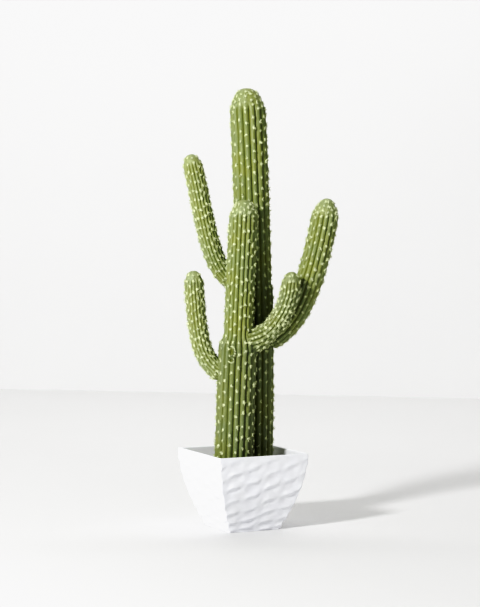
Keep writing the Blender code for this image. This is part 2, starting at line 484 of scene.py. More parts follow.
def fan(first, count, hub, inwards=False):
    """Triangles from a ring of points to a hub point."""
    here = first + np.arange(count)
    after = first + (np.arange(count) + 1) % count
    middle = np.full(count, hub)
    if inwards:
        return np.stack([after, here, middle], axis=-1)
    return np.stack([here, after, middle], axis=-1)


def closed_tube(rows, columns):
    """Faces of rings of points, with a hub point for each end after the rings."""
    hub = rows * columns
    return [
        grid_quads(rows, columns),
        fan(0, columns, hub, inwards=True),
        fan((rows - 1) * columns, columns, hub + 1),
    ]


def dress(piece, slot_name, *nodes):
    """Tie a finished piece to the frame."""
    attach(piece, BODY)
    if nodes:
        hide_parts(*nodes)
    return piece


def new_group(name, inputs, outputs):
    """An empty shader node group with its named sockets."""
    group = bpy.data.node_groups.new(name, "ShaderNodeTree")
    for label, kind, default in inputs:
        socket = group.interface.new_socket(label, in_out="INPUT", socket_type=kind)
        if default is not None:
            socket.default_value = default
    for label, kind in outputs:
        group.interface.new_socket(label, in_out="OUTPUT", socket_type=kind)
    return group, group.nodes.new("NodeGroupInput"), group.nodes.new("NodeGroupOutput")


def math_node(tree, operation, first, second, clamp=False):
    """A Math node fed by sockets or numbers; returns its output."""
    node = tree.nodes.new("ShaderNodeMath")
    node.operation = operation
    node.use_clamp = clamp
    for slot_index, value in enumerate((first, second)):
        if isinstance(value, bpy.types.NodeSocket):
            tree.links.new(value, node.inputs[slot_index])
        else:
            node.inputs[slot_index].default_value = value
    return node.outputs[0]


def mix_colour(tree, share, first, second, blend="MIX"):
    """A Mix node on colours; returns its output."""
    node = tree.nodes.new("ShaderNodeMix")
    node.data_type = "RGBA"
    node.blend_type = blend
    for index, value in ((0, share), (6, first), (7, second)):
        socket = node.inputs[index]
        if isinstance(value, bpy.types.NodeSocket):
            tree.links.new(value, socket)
        elif isinstance(value, (int, float)):
            socket.default_value = value
        else:
            socket.default_value = (*value[:3], 1.0)
    return node.outputs[2]


def noise(tree, vector, scale, detail=2.0, roughness=0.5):
    """A Noise node; returns its Fac output, about 0.5 on average."""
    node = tree.nodes.new("ShaderNodeTexNoise")
    tree.links.new(vector, node.inputs["Vector"])
    if isinstance(scale, bpy.types.NodeSocket):
        tree.links.new(scale, node.inputs["Scale"])
    else:
        node.inputs["Scale"].default_value = scale
    node.inputs["Detail"].default_value = detail
    node.inputs["Roughness"].default_value = roughness
    return node.outputs["Fac"]


def remap(tree, value, low, high, to_low=0.0, to_high=1.0):
    """A clamped Map Range node from one span to another."""
    node = tree.nodes.new("ShaderNodeMapRange")
    for label, number in (
        ("From Min", low),
        ("From Max", high),
        ("To Min", to_low),
        ("To Max", to_high),
    ):
        if isinstance(number, bpy.types.NodeSocket):
            tree.links.new(number, node.inputs[label])
        else:
            node.inputs[label].default_value = number
    tree.links.new(value, node.inputs["Value"])
    return node.outputs["Result"]


def blotch_group():
    """Group: soft-edged blotches from noise, as a mask from 0 to 1."""
    name = "Soft Blotches"
    if name in bpy.data.node_groups:
        return bpy.data.node_groups[name]
    group, given, result = new_group(
        name,
        (
            ("Vector", "NodeSocketVector", None),
            ("Scale", "NodeSocketFloat", 40.0),
            ("Low", "NodeSocketFloat", 0.40),
            ("High", "NodeSocketFloat", 0.62),
        ),
        (("Mask", "NodeSocketFloat"),),
    )
    cloud = noise(group, given.outputs["Vector"], given.outputs["Scale"], detail=3.0)
    mask = remap(group, cloud, given.outputs["Low"], given.outputs["High"])
    group.links.new(mask, result.inputs["Mask"])
    return group


def grain_group():
    """Group: fine moulded or gritty grain as a normal, from a height and noise."""
    name = "Fine Grain"
    if name in bpy.data.node_groups:
        return bpy.data.node_groups[name]
    group, given, result = new_group(
        name,
        (
            ("Vector", "NodeSocketVector", None),
            ("Scale", "NodeSocketFloat", 900.0),
            ("Amount", "NodeSocketFloat", 0.5),
            ("Height", "NodeSocketFloat", 0.0),
            ("Strength", "NodeSocketFloat", 0.25),
        ),
        (("Normal", "NodeSocketVector"), ("Grain", "NodeSocketFloat")),
    )
    grain = noise(group, given.outputs["Vector"], given.outputs["Scale"], detail=4.0, roughness=0.6)
    scaled = math_node(group, "MULTIPLY", grain, given.outputs["Amount"])
    height = math_node(group, "ADD", scaled, given.outputs["Height"])
    bump = group.nodes.new("ShaderNodeBump")
    bump.inputs["Distance"].default_value = GRAIN_HIGH
    group.links.new(given.outputs["Strength"], bump.inputs["Strength"])
    group.links.new(height, bump.inputs["Height"])
    group.links.new(bump.outputs["Normal"], result.inputs["Normal"])
    group.links.new(grain, result.inputs["Grain"])
    return group


def place_group(tree, group, vector=None, **numbers):
    """Place a node group, feed its Vector and set its plain numbers."""
    node = tree.nodes.new("ShaderNodeGroup")
    node.node_tree = group
    if vector is not None:
        tree.links.new(vector, node.inputs["Vector"])
    for label, number in numbers.items():
        node.inputs[label].default_value = number
    return node


def blank_material(name, roughness):
    """A material with its Principled shader and Object coordinates."""
    made = bpy.data.materials.new(name)
    made.use_nodes = True
    tree = made.node_tree
    shader = tree.nodes["Principled BSDF"]
    shader.inputs["Roughness"].default_value = roughness
    place = tree.nodes.new("ShaderNodeTexCoord").outputs["Object"]
    return made, tree, shader, place


def read_value(tree, key):
    """Output of an Attribute node that reads a per-point value."""
    node = tree.nodes.new("ShaderNodeAttribute")
    node.attribute_name = key
    return node.outputs["Fac"]


# ---------------------------------------------------------------- materials

YELLOWED = (1.12, 1.05, 0.76)      # what multiplies the green where it is yellower
STREAKED = (0.72, 0.76, 0.62)      # along its dark streaks
# Darkening: painted shade on the tall stem's lower part, which lies in the short stem's shadow; a
# plain darker skin on the short stem's lower part, its bud scars and the arms.
DARKENING_TINT = (0.77, 0.78, 0.84)          # what multiplies the green where it is darkened
HALOED = (1.30, 1.26, 1.50)        # round each tuft
STREAK_LONG = 0.10                 # how much the streaks' pattern is drawn out upwards
STREAK_SHARE = 0.55
HALO_SHARE = 0.6
DUST_SPAN = (0.55, 1.25)           # how much the bloom comes and goes
FIBRE_DULL = 0.84                  # the dullest tuft's share of the cream
HOLLOW_SHADE = 0.97                 # the hollows' share of the pot's white: painted shade
POT_FAINT = (0.985, 0.985, 0.97)   # a faint cast over the pot
GRIT_DARK = (0.16, 0.135, 0.11)
GRIT_LIGHT = (0.48, 0.44, 0.38)
GRIT_SPECK = (0.62, 0.60, 0.58)


def blotches(tree, vector, scale, low, high):
    """Soft blotches at a scale; returns their mask."""
    node = place_group(tree, blotch_group(), vector, Scale=scale, Low=low, High=high)
    return node.outputs["Mask"]


def tinted(tree, colour, tint):
    """A colour multiplied by a tint."""
    return mix_colour(tree, 1.0, colour, tint, blend="MULTIPLY")


def set_wear(tree, shader, place, scale, low, high):
    """Roughness that comes and goes in soft patches between two values."""
    worn = remap(tree, blotches(tree, place, scale, 0.35, 0.70), 0.0, 1.0, low, high)
    tree.links.new(worn, shader.inputs["Roughness"])


def set_grain(tree, shader, place, scale, amount, strength):
    """Fine grain on a shader's normal; returns the grain's node."""
    grain = place_group(
        tree, grain_group(), place, Scale=scale, Amount=amount, Strength=strength
    )
    tree.links.new(grain.outputs["Normal"], shader.inputs["Normal"])
    return grain


def skin_material(settings):
    """Moulded green skin: paler crests, deep olive grooves, blotches, streaks and bloom."""
    made, tree, shader, place = blank_material("Moulded Cactus Green", 0.52)
    rise = remap(tree, read_value(tree, "crest"), 0.10, 0.85)
    base = mix_colour(tree, rise, settings.groove_green, settings.crest_green)

    broad = blotches(tree, place, 26.0, 0.40, 0.66)
    warm = mix_colour(tree, broad, base, tinted(tree, base, YELLOWED))

    drawn_out = tree.nodes.new("ShaderNodeMapping")
    drawn_out.inputs["Scale"].default_value = (1.0, 1.0, STREAK_LONG)
    tree.links.new(place, drawn_out.inputs["Vector"])
    streak = blotches(tree, drawn_out.outputs["Vector"], 620.0, 0.46, 0.70)
    streak_share = math_node(tree, "MULTIPLY", streak, STREAK_SHARE)
    streaked = mix_colour(tree, streak_share, warm, tinted(tree, warm, STREAKED))

    # Darkened skin: painted shade on the tall stem's lower part, a plain darker skin elsewhere.
    age = read_value(tree, "age")
    darkened = mix_colour(tree, age, streaked, tinted(tree, streaked, DARKENING_TINT))

    halo_share = math_node(tree, "MULTIPLY", read_value(tree, "halo"), HALO_SHARE)
    ringed = mix_colour(tree, halo_share, darkened, tinted(tree, darkened, HALOED))

    dust = remap(tree, blotches(tree, place, 310.0, 0.36, 0.66), 0.0, 1.0, *DUST_SPAN)
    bloom_share = math_node(tree, "MULTIPLY", read_value(tree, "bloom"), dust, clamp=True)
    finished = mix_colour(tree, bloom_share, ringed, settings.bloom_green)
    tree.links.new(finished, shader.inputs["Base Color"])

    set_wear(tree, shader, place, 160.0, 0.42, 0.62)
    grain = set_grain(tree, shader, place, 1100.0, 0.5, 0.35)
    tree.links.new(streak, grain.inputs["Height"])
    return made


def fibre_material(settings):
    """Cream fibre, each tuft a little lighter or darker than the next."""
    made, tree, shader, place = blank_material("Cream Fibre", 0.85)
    cream = tuple(settings.cream)
    dull = tuple(part * FIBRE_DULL for part in cream)
    toned = mix_colour(tree, read_value(tree, "tone"), dull, cream)
    tree.links.new(toned, shader.inputs["Base Color"])
    set_grain(tree, shader, place, 2600.0, 0.6, 0.25)
    shader.inputs["Sheen Weight"].default_value = 0.25
    return made


def pot_material(settings):
    """Matt white moulding with painted shade in the hollows, a faint cast over it and a fine tooth.
    """
    made, tree, shader, place = blank_material("Matt White Pot", 0.42)
    white = tuple(settings.pot_white)
    hollow_shade = tuple(part * HOLLOW_SHADE for part in white)
    # painted shade: the hollows under the lips are a little darker than the lips
    toned = mix_colour(tree, remap(tree, read_value(tree, "relief"), 0.0, 0.7), hollow_shade, white)
    cast = blotches(tree, place, 30.0, 0.35, 0.70)
    finished = mix_colour(tree, cast, toned, tinted(tree, toned, POT_FAINT))
    tree.links.new(finished, shader.inputs["Base Color"])
    set_wear(tree, shader, place, 220.0, 0.36, 0.50)
    set_grain(tree, shader, place, 700.0, 0.6, 0.12)
    return made


def grit_material():
    """Grey-brown grit, each stone with its own tone."""
    made, tree, shader, place = blank_material("Grit", 0.9)
    base = mix_colour(tree, read_value(tree, "tone"), GRIT_DARK, GRIT_LIGHT)
    speck = blotches(tree, place, 420.0, 0.40, 0.62)
    finished = mix_colour(tree, speck, base, tinted(tree, base, GRIT_SPECK))
    tree.links.new(finished, shader.inputs["Base Color"])
    set_grain(tree, shader, place, 1500.0, 1.0, 0.6)
    return made


# ---------------------------------------------------------------- limbs as functions

TUFT_UNEVEN = 0.13           # how far a tuft strays along its rib, in spacings
TUFT_STRAY = 0.0012          # the same on the dome and in a ring of tufts
TUFT_START = (0.1, 0.5)      # span of a rib's first tuft, in spacings
RING_CLEAR = 0.42            # how near to a ring another tuft may stand, in spacings
DOME_TUFT_STEP = 0.0085      # between tufts on a dome
DOME_TUFT_START = 0.35       # the lowest one above the dome's foot, in steps
DOME_TUFT_CLEAR = 0.002      # from the last tuft below the dome to the dome
FEWER_BELOW = (0.0062, 0.0034)     # rib widths under which half, then a quarter, have tufts
HALO_ALONG = 0.0042          # reach of a tuft's nearness along its rib
HALO_ACROSS = 0.0024
SWELL_LEVEL = 0.75           # nearness at which the crest is neither swollen nor sunk
SWELL_RADIUS = 0.012         # limbs thinner than this swell less
UNEVEN = 0.00012             # height of the slow unevenness
UNEVEN_RADIUS = 0.010
# Its two sines: what the distance, the angle and the limb's seed are multiplied by.
UNEVEN_WAVES = ((31.0, 2.0, 1.0), (67.0, -3.0, 1.7))
WANDER = 0.045               # how far a crest wanders sideways, in ribs
WANDER_WAVE = (23.0, 2.2)    # its sine's turn along the limb and from rib to rib
HEEL_SWELL_LONG = 0.009      # length over which the swell at an arm's root dies away
NORMAL_STEP = 0.0004         # steps by which directions are measured
NORMAL_TURN = 0.08
TIP_CLEAR = 1e-5             # measuring stops this far short of the tip


class Limb:
    """A ribbed limb, worked out from samples along its centre line.

    A point of its surface is the centre plus a reach times (side cos a + front
    sin a). The angle a runs round the ribs. The reach is the crest radius, less
    the groove's depth times one less the crest profile, plus slow unevenness
    and a swelling under each tuft.
    """

    def __init__(self, name, spec, samples, settings):
        self.name = name
        self.ribs = spec["rib_count"]
        self.turn = math.radians(spec["rib_turn"])
        self.spacing = spec["tuft_spacing"]
        self.seed = spec["seed"]
        self.dome = spec["dome_height"]
        self.heel = spec.get("heel", 0.0)
        self.heel_round = spec.get("heel_round", 0.0)
        self.bloom = spec["bloom"]
        self.age = spec.get("age", 0.0)
        self.along, self.centre, self.side, self.front, self.radius = samples
        self.length = self.along[-1]
        self.darkened_to = self.length
        if "shoulder" in spec:
            self.darkened_to = spec["shoulder"][2] - STEM_FOOT
        self.rings = [ring if ring > 0.0 else self.length + ring for ring in spec["tuft_rings"]]
        self.groove_share = settings.groove_share
        self.crest_power = settings.crest_power
        self.swelling = settings.swelling
        self.tufts = self.tuft_places()

    def read(self, table, along):
        """A sampled quantity at distances along the limb."""
        if table.ndim == 1:
            return np.interp(along, self.along, table)
        return np.stack([np.interp(along, self.along, column) for column in table.T], axis=-1)

    def fade(self, along):
        """1 below the dome, running out to 0 over the dome's lowest part."""
        below = (self.length - along) / self.dome
        return smoothstep((below - 1.0 + GROOVE_FADE) / GROOVE_FADE)

    def crest(self, around):
        """Height across a rib: sin(pi x) to a low power, 0 in the groove."""
        return np.abs(np.sin(math.pi * np.mod(around, 1.0))) ** self.crest_power

    def tuft_places(self):
        """Rib and distance of every tuft: staggered steps, a little uneven.

        Tufts stand close together in a ring where the limb has one, and on the
        dome they leave out ribs as the ribs draw together.
        """
        rng = np.random.default_rng(self.seed)
        dome_foot = self.length - self.dome
        places = []
        for rib in range(self.ribs):
            odd = rib % 2
            start = self.spacing * (0.5 * odd + rng.uniform(*TUFT_START))
            count = int((dome_foot - start) / self.spacing) + 1
            strayed = rng.uniform(-TUFT_UNEVEN, TUFT_UNEVEN, count)
            body = start + self.spacing * (np.arange(count) + strayed)
            rows = int(self.dome / DOME_TUFT_STEP)
            dome = dome_foot + self.dome / rows * (np.arange(rows) + DOME_TUFT_START + 0.5 * odd)
            dome = dome + rng.uniform(-TUFT_STRAY, TUFT_STRAY, rows)
            pitch = 2.0 * math.pi * self.read(self.radius, dome) / self.ribs
            sparse = np.where(pitch > FEWER_BELOW[0], 1, np.where(pitch > FEWER_BELOW[1], 2, 4))
            kept = dome[((rib % sparse) == 0) & (dome < self.length - TUFT_STRAY)]
            body = body[body < dome_foot - DOME_TUFT_CLEAR]
            for ring in self.rings:
                body = body[np.abs(body - ring) > RING_CLEAR * self.spacing]
            ringed = self.rings + rng.uniform(-TUFT_STRAY, TUFT_STRAY, len(self.rings))
            both = np.concatenate([body, ringed, kept])
            places.append(np.stack([np.full(len(both), rib + 0.5), both], axis=-1))
        return np.concatenate(places)

    def near_tuft(self, along, around):
        """Nearness to a tuft of the same rib: a bell curve, 1 at the tuft."""
        rib = np.floor(np.mod(around, self.ribs)).astype(int)
        nearness = np.zeros(np.shape(along))
        pitch = 2.0 * math.pi * self.read(self.radius, along) / self.ribs
        for wanted in range(self.ribs):
            here = rib == wanted
            spots = self.tufts[np.floor(self.tufts[:, 0]).astype(int) == wanted, 1]
            if not len(spots) or not here.any():
                continue
            away = np.abs(along[here][:, None] - spots[None, :]).min(axis=1)
            across = (np.mod(around[here], 1.0) - 0.5) * pitch[here]
            nearness[here] = np.exp(-((away / HALO_ALONG) ** 2 + (across / HALO_ACROSS) ** 2))
        return nearness

    def heel_share(self, along):
        """Radius share at an arm's root: a quarter ellipse, then a slight swell."""
        if not self.heel:
            return np.ones(np.shape(along))
        past = along - (self.heel - HEEL_DEEP)
        left = np.clip(1.0 - past / (self.heel_round + HEEL_DEEP), 0.0, 1.0)
        rounded = HEEL_NARROW + (1.0 - HEEL_NARROW) * np.sqrt(1.0 - left ** 2)
        beyond = (past - self.heel_round - HEEL_DEEP) / HEEL_SWELL_LONG
        return rounded + HEEL_SWELL * np.exp(-(beyond ** 2))

    def reach(self, along, around):
        """Distance of the surface from the centre line.

        The slow unevenness is two sines of distance and angle added.
        """
        radius = self.read(self.radius, along) * self.heel_share(along)
        groove = self.groove_share * self.fade(along) * (1.0 - self.crest(around))
        angle = 2.0 * math.pi * around / self.ribs
        uneven = 0.0
        for by_along, by_angle, by_seed in UNEVEN_WAVES:
            uneven = uneven + np.sin(by_along * along + by_angle * angle + by_seed * self.seed)
        uneven = uneven * UNEVEN * np.clip(radius / UNEVEN_RADIUS, 0.0, 1.0)
        swell = self.swelling * (self.near_tuft(along, around) - SWELL_LEVEL)
        swell = swell * np.clip(radius / SWELL_RADIUS, 0.0, 1.0)
        return radius * (1.0 - groove) + uneven + swell

    def point(self, along, around):
        """Surface points for arrays of distance along and ribs around.

        Each crest wanders sideways in a slow sine along the limb.
        """
        by_along, by_rib = WANDER_WAVE
        rib = np.floor(np.mod(around, self.ribs))
        wander = WANDER * np.sin(by_along * along + by_rib * rib)
        wander = wander * np.sin(math.pi * np.mod(around, 1.0))
        angle = (2.0 * math.pi * (around + wander) / self.ribs + self.turn)[..., None]
        reach = self.reach(along, around)[..., None]
        side = self.read(self.side, along)
        front = self.read(self.front, along)
        out = side * np.cos(angle) + front * np.sin(angle)
        return self.read(self.centre, along) + out * reach

    def frame(self, along, around):
        """Point, outward normal and lengthwise direction by small steps."""
        here = self.point(along, around)
        ahead = self.point(np.minimum(along + NORMAL_STEP, self.length - TIP_CLEAR), around)
        behind = self.point(along - NORMAL_STEP, around)
        lengthwise = unit(ahead - behind)
        turned = self.point(along, around + NORMAL_TURN) - self.point(along, around - NORMAL_TURN)
        normal = unit(np.cross(turned, lengthwise))
        return here, normal, lengthwise


def stem_axis_at(stem, height):
    """A stem's centre line at heights: the parabola through foot, shoulder and crown."""
    foot, shoulder, crown = stem["foot"], stem["shoulder"], stem["crown"]
    up = height - STEM_FOOT
    place = []
    for axis in (0, 1):
        rise = (shoulder[axis] - foot[axis]) / (shoulder[2] - STEM_FOOT)
        late = (crown[axis] - shoulder[axis]) / (crown[2] - shoulder[2])
        bow = (late - rise) / (crown[2] - STEM_FOOT)
        place.append(foot[axis] + rise * up + bow * up * (height - shoulder[2]))
    return np.stack(place, axis=-1)


def stem_limb(name, settings):
    """A stem's samples: level rings round its centre line, stepped in at the shoulder."""
    stem = STEMS[name]
    shoulder_z = stem["shoulder"][2]
    crown_z = stem["crown"][2]
    height = np.linspace(STEM_FOOT, crown_z, SPINE_SAMPLES)
    centre = np.concatenate([stem_axis_at(stem, height), height[:, None]], axis=1)
    shoulder_foot = shoulder_z - stem["shoulder_height"]
    lower = np.interp(
        height, (STEM_FOOT, shoulder_foot), (stem["foot_radius"], stem["shoulder_radius"])
    )
    over = smoothstep((height - shoulder_foot) / (stem["shoulder_height"] + stem["shoulder_ease"]))
    rounded = lower + (stem["upper_radius"] - lower) * over
    left = np.clip((crown_z - height) / stem["dome_height"], 0.0, 1.0)
    radius = rounded * left ** stem["dome_power"]
    side = np.tile((1.0, 0.0, 0.0), (SPINE_SAMPLES, 1))
    front = np.tile((0.0, 1.0, 0.0), (SPINE_SAMPLES, 1))
    return Limb(name, stem, (height - STEM_FOOT, centre, side, front, radius), settings)


def arm_limb(name, settings):
    """An arm's samples: a cubic curve in an upright plane, rings square to it."""
    arm = ARMS[name]
    knots = np.array(
        [(0.0, arm["root_height"]), arm["root_handle"], arm["bend_handle"], arm["tip"]]
    )
    share = np.linspace(0.0, 1.0, SPINE_SAMPLES)
    rest = 1.0 - share
    weights = [rest ** 3, 3 * rest ** 2 * share, 3 * rest * share ** 2, share ** 3]
    flat = np.stack(weights, axis=-1) @ knots
    slopes = np.stack([rest ** 2, 2 * rest * share, share ** 2], axis=-1)
    heading = unit(slopes @ np.diff(knots, axis=0))
    along = np.concatenate([[0.0], np.cumsum(np.linalg.norm(np.diff(flat, axis=0), axis=1))])
    bearing = math.radians(arm["azimuth"])
    outward = np.array([math.cos(bearing), math.sin(bearing), 0.0])
    upward = np.array([0.0, 0.0, 1.0])
    centre = flat[:, :1] * outward + flat[:, 1:] * upward
    centre[:, :2] += stem_axis_at(STEMS[arm["stem"]], arm["root_height"])
    side = np.tile(np.cross(outward, upward), (SPINE_SAMPLES, 1))
    forward = heading[:, :1] * outward + heading[:, 1:] * upward
    front = unit(np.cross(forward, side))
    settled = smoothstep(share / ROOT_BLEND)
    body = arm["root_radius"] + (arm["body_radius"] - arm["root_radius"]) * settled
    left = np.clip((along[-1] - along) / arm["dome_height"], 0.0, 1.0)
    knuckle_end, knuckle_swell = arm["knuckle"]
    knuckle = knuckle_swell * (1.0 - smoothstep((along - knuckle_end) / KNUCKLE_STEP + 0.5))
    radius = (body + knuckle) * left ** arm["dome_power"]
    return Limb(name, arm, (along, centre, side, front, radius), settings)


def limb_rings(limb, start=0.0):
    """Distances of a limb's rings: even steps, then closer ones on the dome."""
    dome_start = limb.length - limb.dome
    count = max(int((dome_start - start) / RING_STEP), 2)
    body = np.linspace(start, dome_start, count, endpoint=False)
    share = np.linspace(1.0, 0.0, DOME_RINGS, endpoint=False) ** 2.0
    return np.concatenate([body, limb.length - limb.dome * share])


def skin_piece(limb, surface, start=0.0, shoulder=None):
    """The limb's skin: a grid of rings and rib points, closed at foot and tip."""
    rings = limb_rings(limb, start)
    if shoulder is not None:
        extra = np.linspace(shoulder[0], shoulder[1], SHOULDER_RINGS)
        rings = np.unique(np.round(np.concatenate([rings, extra]), 6))
    across = (np.arange(limb.ribs)[:, None] + np.array(RIB_ACROSS)[None, :]).ravel()
    along, around = np.meshgrid(rings, across, indexing="ij")
    points = limb.point(along, around).reshape(-1, 3)
    crest = (1.0 - limb.fade(along) * (1.0 - limb.crest(around))).ravel()
    halo = limb.near_tuft(along, around).ravel()
    foot = limb.read(limb.centre, np.array([start]))
    tip = limb.centre[-1:]
    points = np.concatenate([points, foot, tip])
    faces = closed_tube(len(rings), len(across))
    bloom = limb.bloom + DOME_BLOOM * (1.0 - limb.fade(along)).ravel()
    darkened_share = limb.age * smoothstep((limb.darkened_to - along) / DARKENING_FADE + 0.5).ravel()
    values = {
        "age": np.concatenate([darkened_share, [limb.age, 0.0]]),
        "crest": np.concatenate([crest, [0.5, 1.0]]),
        "halo": np.concatenate([halo, [0.0, 0.0]]),
        "bloom": np.concatenate([bloom, [limb.bloom, limb.bloom + DOME_BLOOM]]),
    }
    return put_mesh(limb.name + "_skin", points, faces, surface, values=values)


# ---------------------------------------------------------------- tufts

CUSHION_SIDES = 8
CUSHION_FLAT = 0.75          # height of a cushion as a share of the template's
CUSHION_RAGGED = 0.22
CUSHION_STRETCH = (0.85, 1.45)     # spans that the random numbers are drawn from
CUSHION_SQUEEZE = (0.75, 1.05)
TUFT_SIZES = (0.80, 1.22)
FIBRE_SIDES = 3
FIBRE_THICK = 0.00026        # radius of a fibre at its root
FIBRE_THIN = 0.8             # its share where the fibre bends
FIBRE_LEANS = (42.0, 88.0)   # from the normal, degrees
FIBRE_LENGTHS = (0.55, 1.15)
FIBRE_STRAY = 0.30           # how far a fibre strays from its branch, radians
FIBRE_GATHER = 0.22          # how far fibres gather along and across the rib
FIBRE_ROOT = (0.35, 0.10)    # how far out and up a fibre's root is, in cushion radii
FIBRE_SAG = (0.35, 0.25)     # how far a fibre turns outwards and down past its bend
FIBRE_PARTS = (0.55, 0.45)   # shares of a fibre's length before its bend and past it
TUFT_BRANCHES = 5            # bearings that a tuft's fibres gather along
BRANCH_LENGTHS = (0.70, 1.45)
SPINE_SKIP = 6               # nearness to a limb is measured from every sixth sample


def cushion_template():
    """A low dome of radius 1: rim, middle ring and top, closed underneath."""
    turn = 2.0 * math.pi * np.arange(CUSHION_SIDES) / CUSHION_SIDES
    ring = np.stack([np.cos(turn), np.sin(turn), np.zeros(CUSHION_SIDES)], axis=-1)
    rim = ring + (0.0, 0.0, -0.30)
    middle = ring * (0.78, 0.78, 1.0) + (0.0, 0.0, 0.42)
    points = np.concatenate([rim, middle, [(0.0, 0.0, 0.66), (0.0, 0.0, -0.45)]])
    sides = CUSHION_SIDES
    quads = grid_quads(2, sides)
    faces = [
        fan(sides, sides, 2 * sides),
        fan(0, sides, 2 * sides + 1, inwards=True),
        quads[:, [0, 1, 2]],
        quads[:, [0, 2, 3]],
    ]
    return points, np.concatenate(faces)


def fibre_faces():
    """Faces of one fibre: two rings and a tip, closed at the root."""
    quads = grid_quads(2, FIBRE_SIDES)
    faces = [
        quads[:, [0, 1, 2]],
        quads[:, [0, 2, 3]],
        fan(FIBRE_SIDES, FIBRE_SIDES, 2 * FIBRE_SIDES),
        np.array([[2, 1, 0]]),
    ]
    return np.concatenate(faces)


def repeat_faces(faces, count, stride):
    """The same faces for each of many equal shapes laid end to end."""
    shift = (np.arange(count) * stride)[:, None, None]
    return (faces[None, :, :] + shift).reshape(-1, faces.shape[1])


def turned_flat(x, y, turns):
    """Flat coordinates of many shapes, a row each, turned by one angle each."""
    cosine = np.cos(turns)[:, None]
    sine = np.sin(turns)[:, None]
    return x * cosine - y * sine, x * sine + y * cosine


def tuft_cushions(places, axes, radius, rng):
    """Cushions' points: the template turned, stretched along the rib and ragged."""
    crosswise, lengthwise, normals = axes
    count = len(places)
    shape, faces = cushion_template()
    spin = rng.uniform(0.0, 2.0 * math.pi, count)
    stretch = rng.uniform(*CUSHION_STRETCH, count)
    squeeze = rng.uniform(*CUSHION_SQUEEZE, count)
    local_x, local_y = turned_flat(shape[None, :, 0], shape[None, :, 1], spin)
    ragged = 1.0 + CUSHION_RAGGED * rng.uniform(-1.0, 1.0, local_x.shape)
    local_x = local_x * squeeze[:, None] * ragged
    local_y = local_y * stretch[:, None] * ragged
    local_z = shape[None, :, 2] * np.ones((count, 1)) * CUSHION_FLAT
    points = (
        places[:, None, :]
        + crosswise[:, None, :] * (local_x * radius[:, None])[..., None]
        + lengthwise[:, None, :] * (local_y * radius[:, None])[..., None]
        + normals[:, None, :] * (local_z * radius[:, None])[..., None]
    )
    return points, faces


def tuft_fibres(places, axes, sizes, settings, rng):
    """Fibres' points, and which tuft each fibre belongs to.

    A fibre's direction is the normal times the cosine of its lean plus the
    sideways direction times the sine, and it sags outwards past its bend.
    """
    crosswise, lengthwise, normals = axes
    count = len(places)
    total = count * settings.fibre_count
    owner = np.repeat(np.arange(count), settings.fibre_count)
    branch = rng.uniform(0.0, 2.0 * math.pi, (count, TUFT_BRANCHES))
    chosen = rng.integers(0, TUFT_BRANCHES, total)
    bearing = branch[owner, chosen] + rng.normal(0.0, FIBRE_STRAY, total)
    bearing = bearing - FIBRE_GATHER * np.sin(2.0 * bearing + math.pi)
    lean = np.radians(rng.uniform(*FIBRE_LEANS, total))
    favoured = rng.uniform(*BRANCH_LENGTHS, (count, TUFT_BRANCHES))[owner, chosen]
    length = settings.fibre_length * sizes[owner] * favoured * rng.uniform(*FIBRE_LENGTHS, total)
    sideways = (
        crosswise[owner] * np.cos(bearing)[:, None] + lengthwise[owner] * np.sin(bearing)[:, None]
    )
    up = normals[owner]
    direction = up * np.cos(lean)[:, None] + sideways * np.sin(lean)[:, None]
    radius = settings.cushion_radius * sizes
    root = places[owner] + sideways * (FIBRE_ROOT[0] * radius[owner])[:, None]
    root = root + up * (FIBRE_ROOT[1] * radius[owner])[:, None]
    middle = root + direction * (FIBRE_PARTS[0] * length)[:, None]
    later = unit(direction + sideways * FIBRE_SAG[0] - up * FIBRE_SAG[1])
    tip = middle + later * (FIBRE_PARTS[1] * length)[:, None]
    across = unit(np.cross(direction, up))
    over = np.cross(across, direction)
    thick = (FIBRE_THICK * sizes[owner])[:, None, None]
    turn = 2.0 * math.pi * np.arange(FIBRE_SIDES) / FIBRE_SIDES
    ring = (
        across[:, None, :] * np.cos(turn)[None, :, None]
        + over[:, None, :] * np.sin(turn)[None, :, None]
    ) * thick
    points = [root[:, None, :] + ring, middle[:, None, :] + ring * FIBRE_THIN, tip[:, None, :]]
    return np.concatenate(points, axis=1), owner


def tuft_piece(name, places, normals, lengthwise, settings, surface, seed, size=1.0):
    """Tufts joined into one mesh: each is a felted cushion and fibres that spread from it."""
    rng = np.random.default_rng(seed)
    count = len(places)
    axes = (unit(np.cross(normals, lengthwise)), lengthwise, normals)
    sizes = size * rng.uniform(*TUFT_SIZES, count)
    tone = rng.uniform(0.0, 1.0, count)
    cushions, cushion_faces = tuft_cushions(places, axes, settings.cushion_radius * sizes, rng)
    strands, owner = tuft_fibres(places, axes, sizes, settings, rng)
    blocks = []
    tones = []
    faces = []
    start = 0
    for block, one, owners in (
        (cushions, cushion_faces, np.arange(count)),
        (strands, fibre_faces(), owner),
    ):
        shapes, each = block.shape[:2]
        blocks.append(block.reshape(-1, 3))
        tones.append(np.repeat(tone[owners], each))
        faces.append(repeat_faces(one, shapes, each) + start)
        start += shapes * each
    points = np.concatenate(blocks)
    values = {"tone": np.concatenate(tones)}
    return put_mesh(name, points, [np.concatenate(faces)], surface, smooth=False, values=values)


def clear_of(points, limbs, margin):
    """Which points are outside the crests of all the given limbs."""
    free = np.ones(len(points), dtype=bool)
    sparser = slice(None, None, SPINE_SKIP)
    for limb in limbs:
        gap = np.linalg.norm(points[:, None, :] - limb.centre[sparser][None, :, :], axis=-1)
        nearest = gap.argmin(axis=1)
        free &= gap.min(axis=1) > limb.radius[sparser][nearest] + margin
    return free


# ---------------------------------------------------------------- bud scars

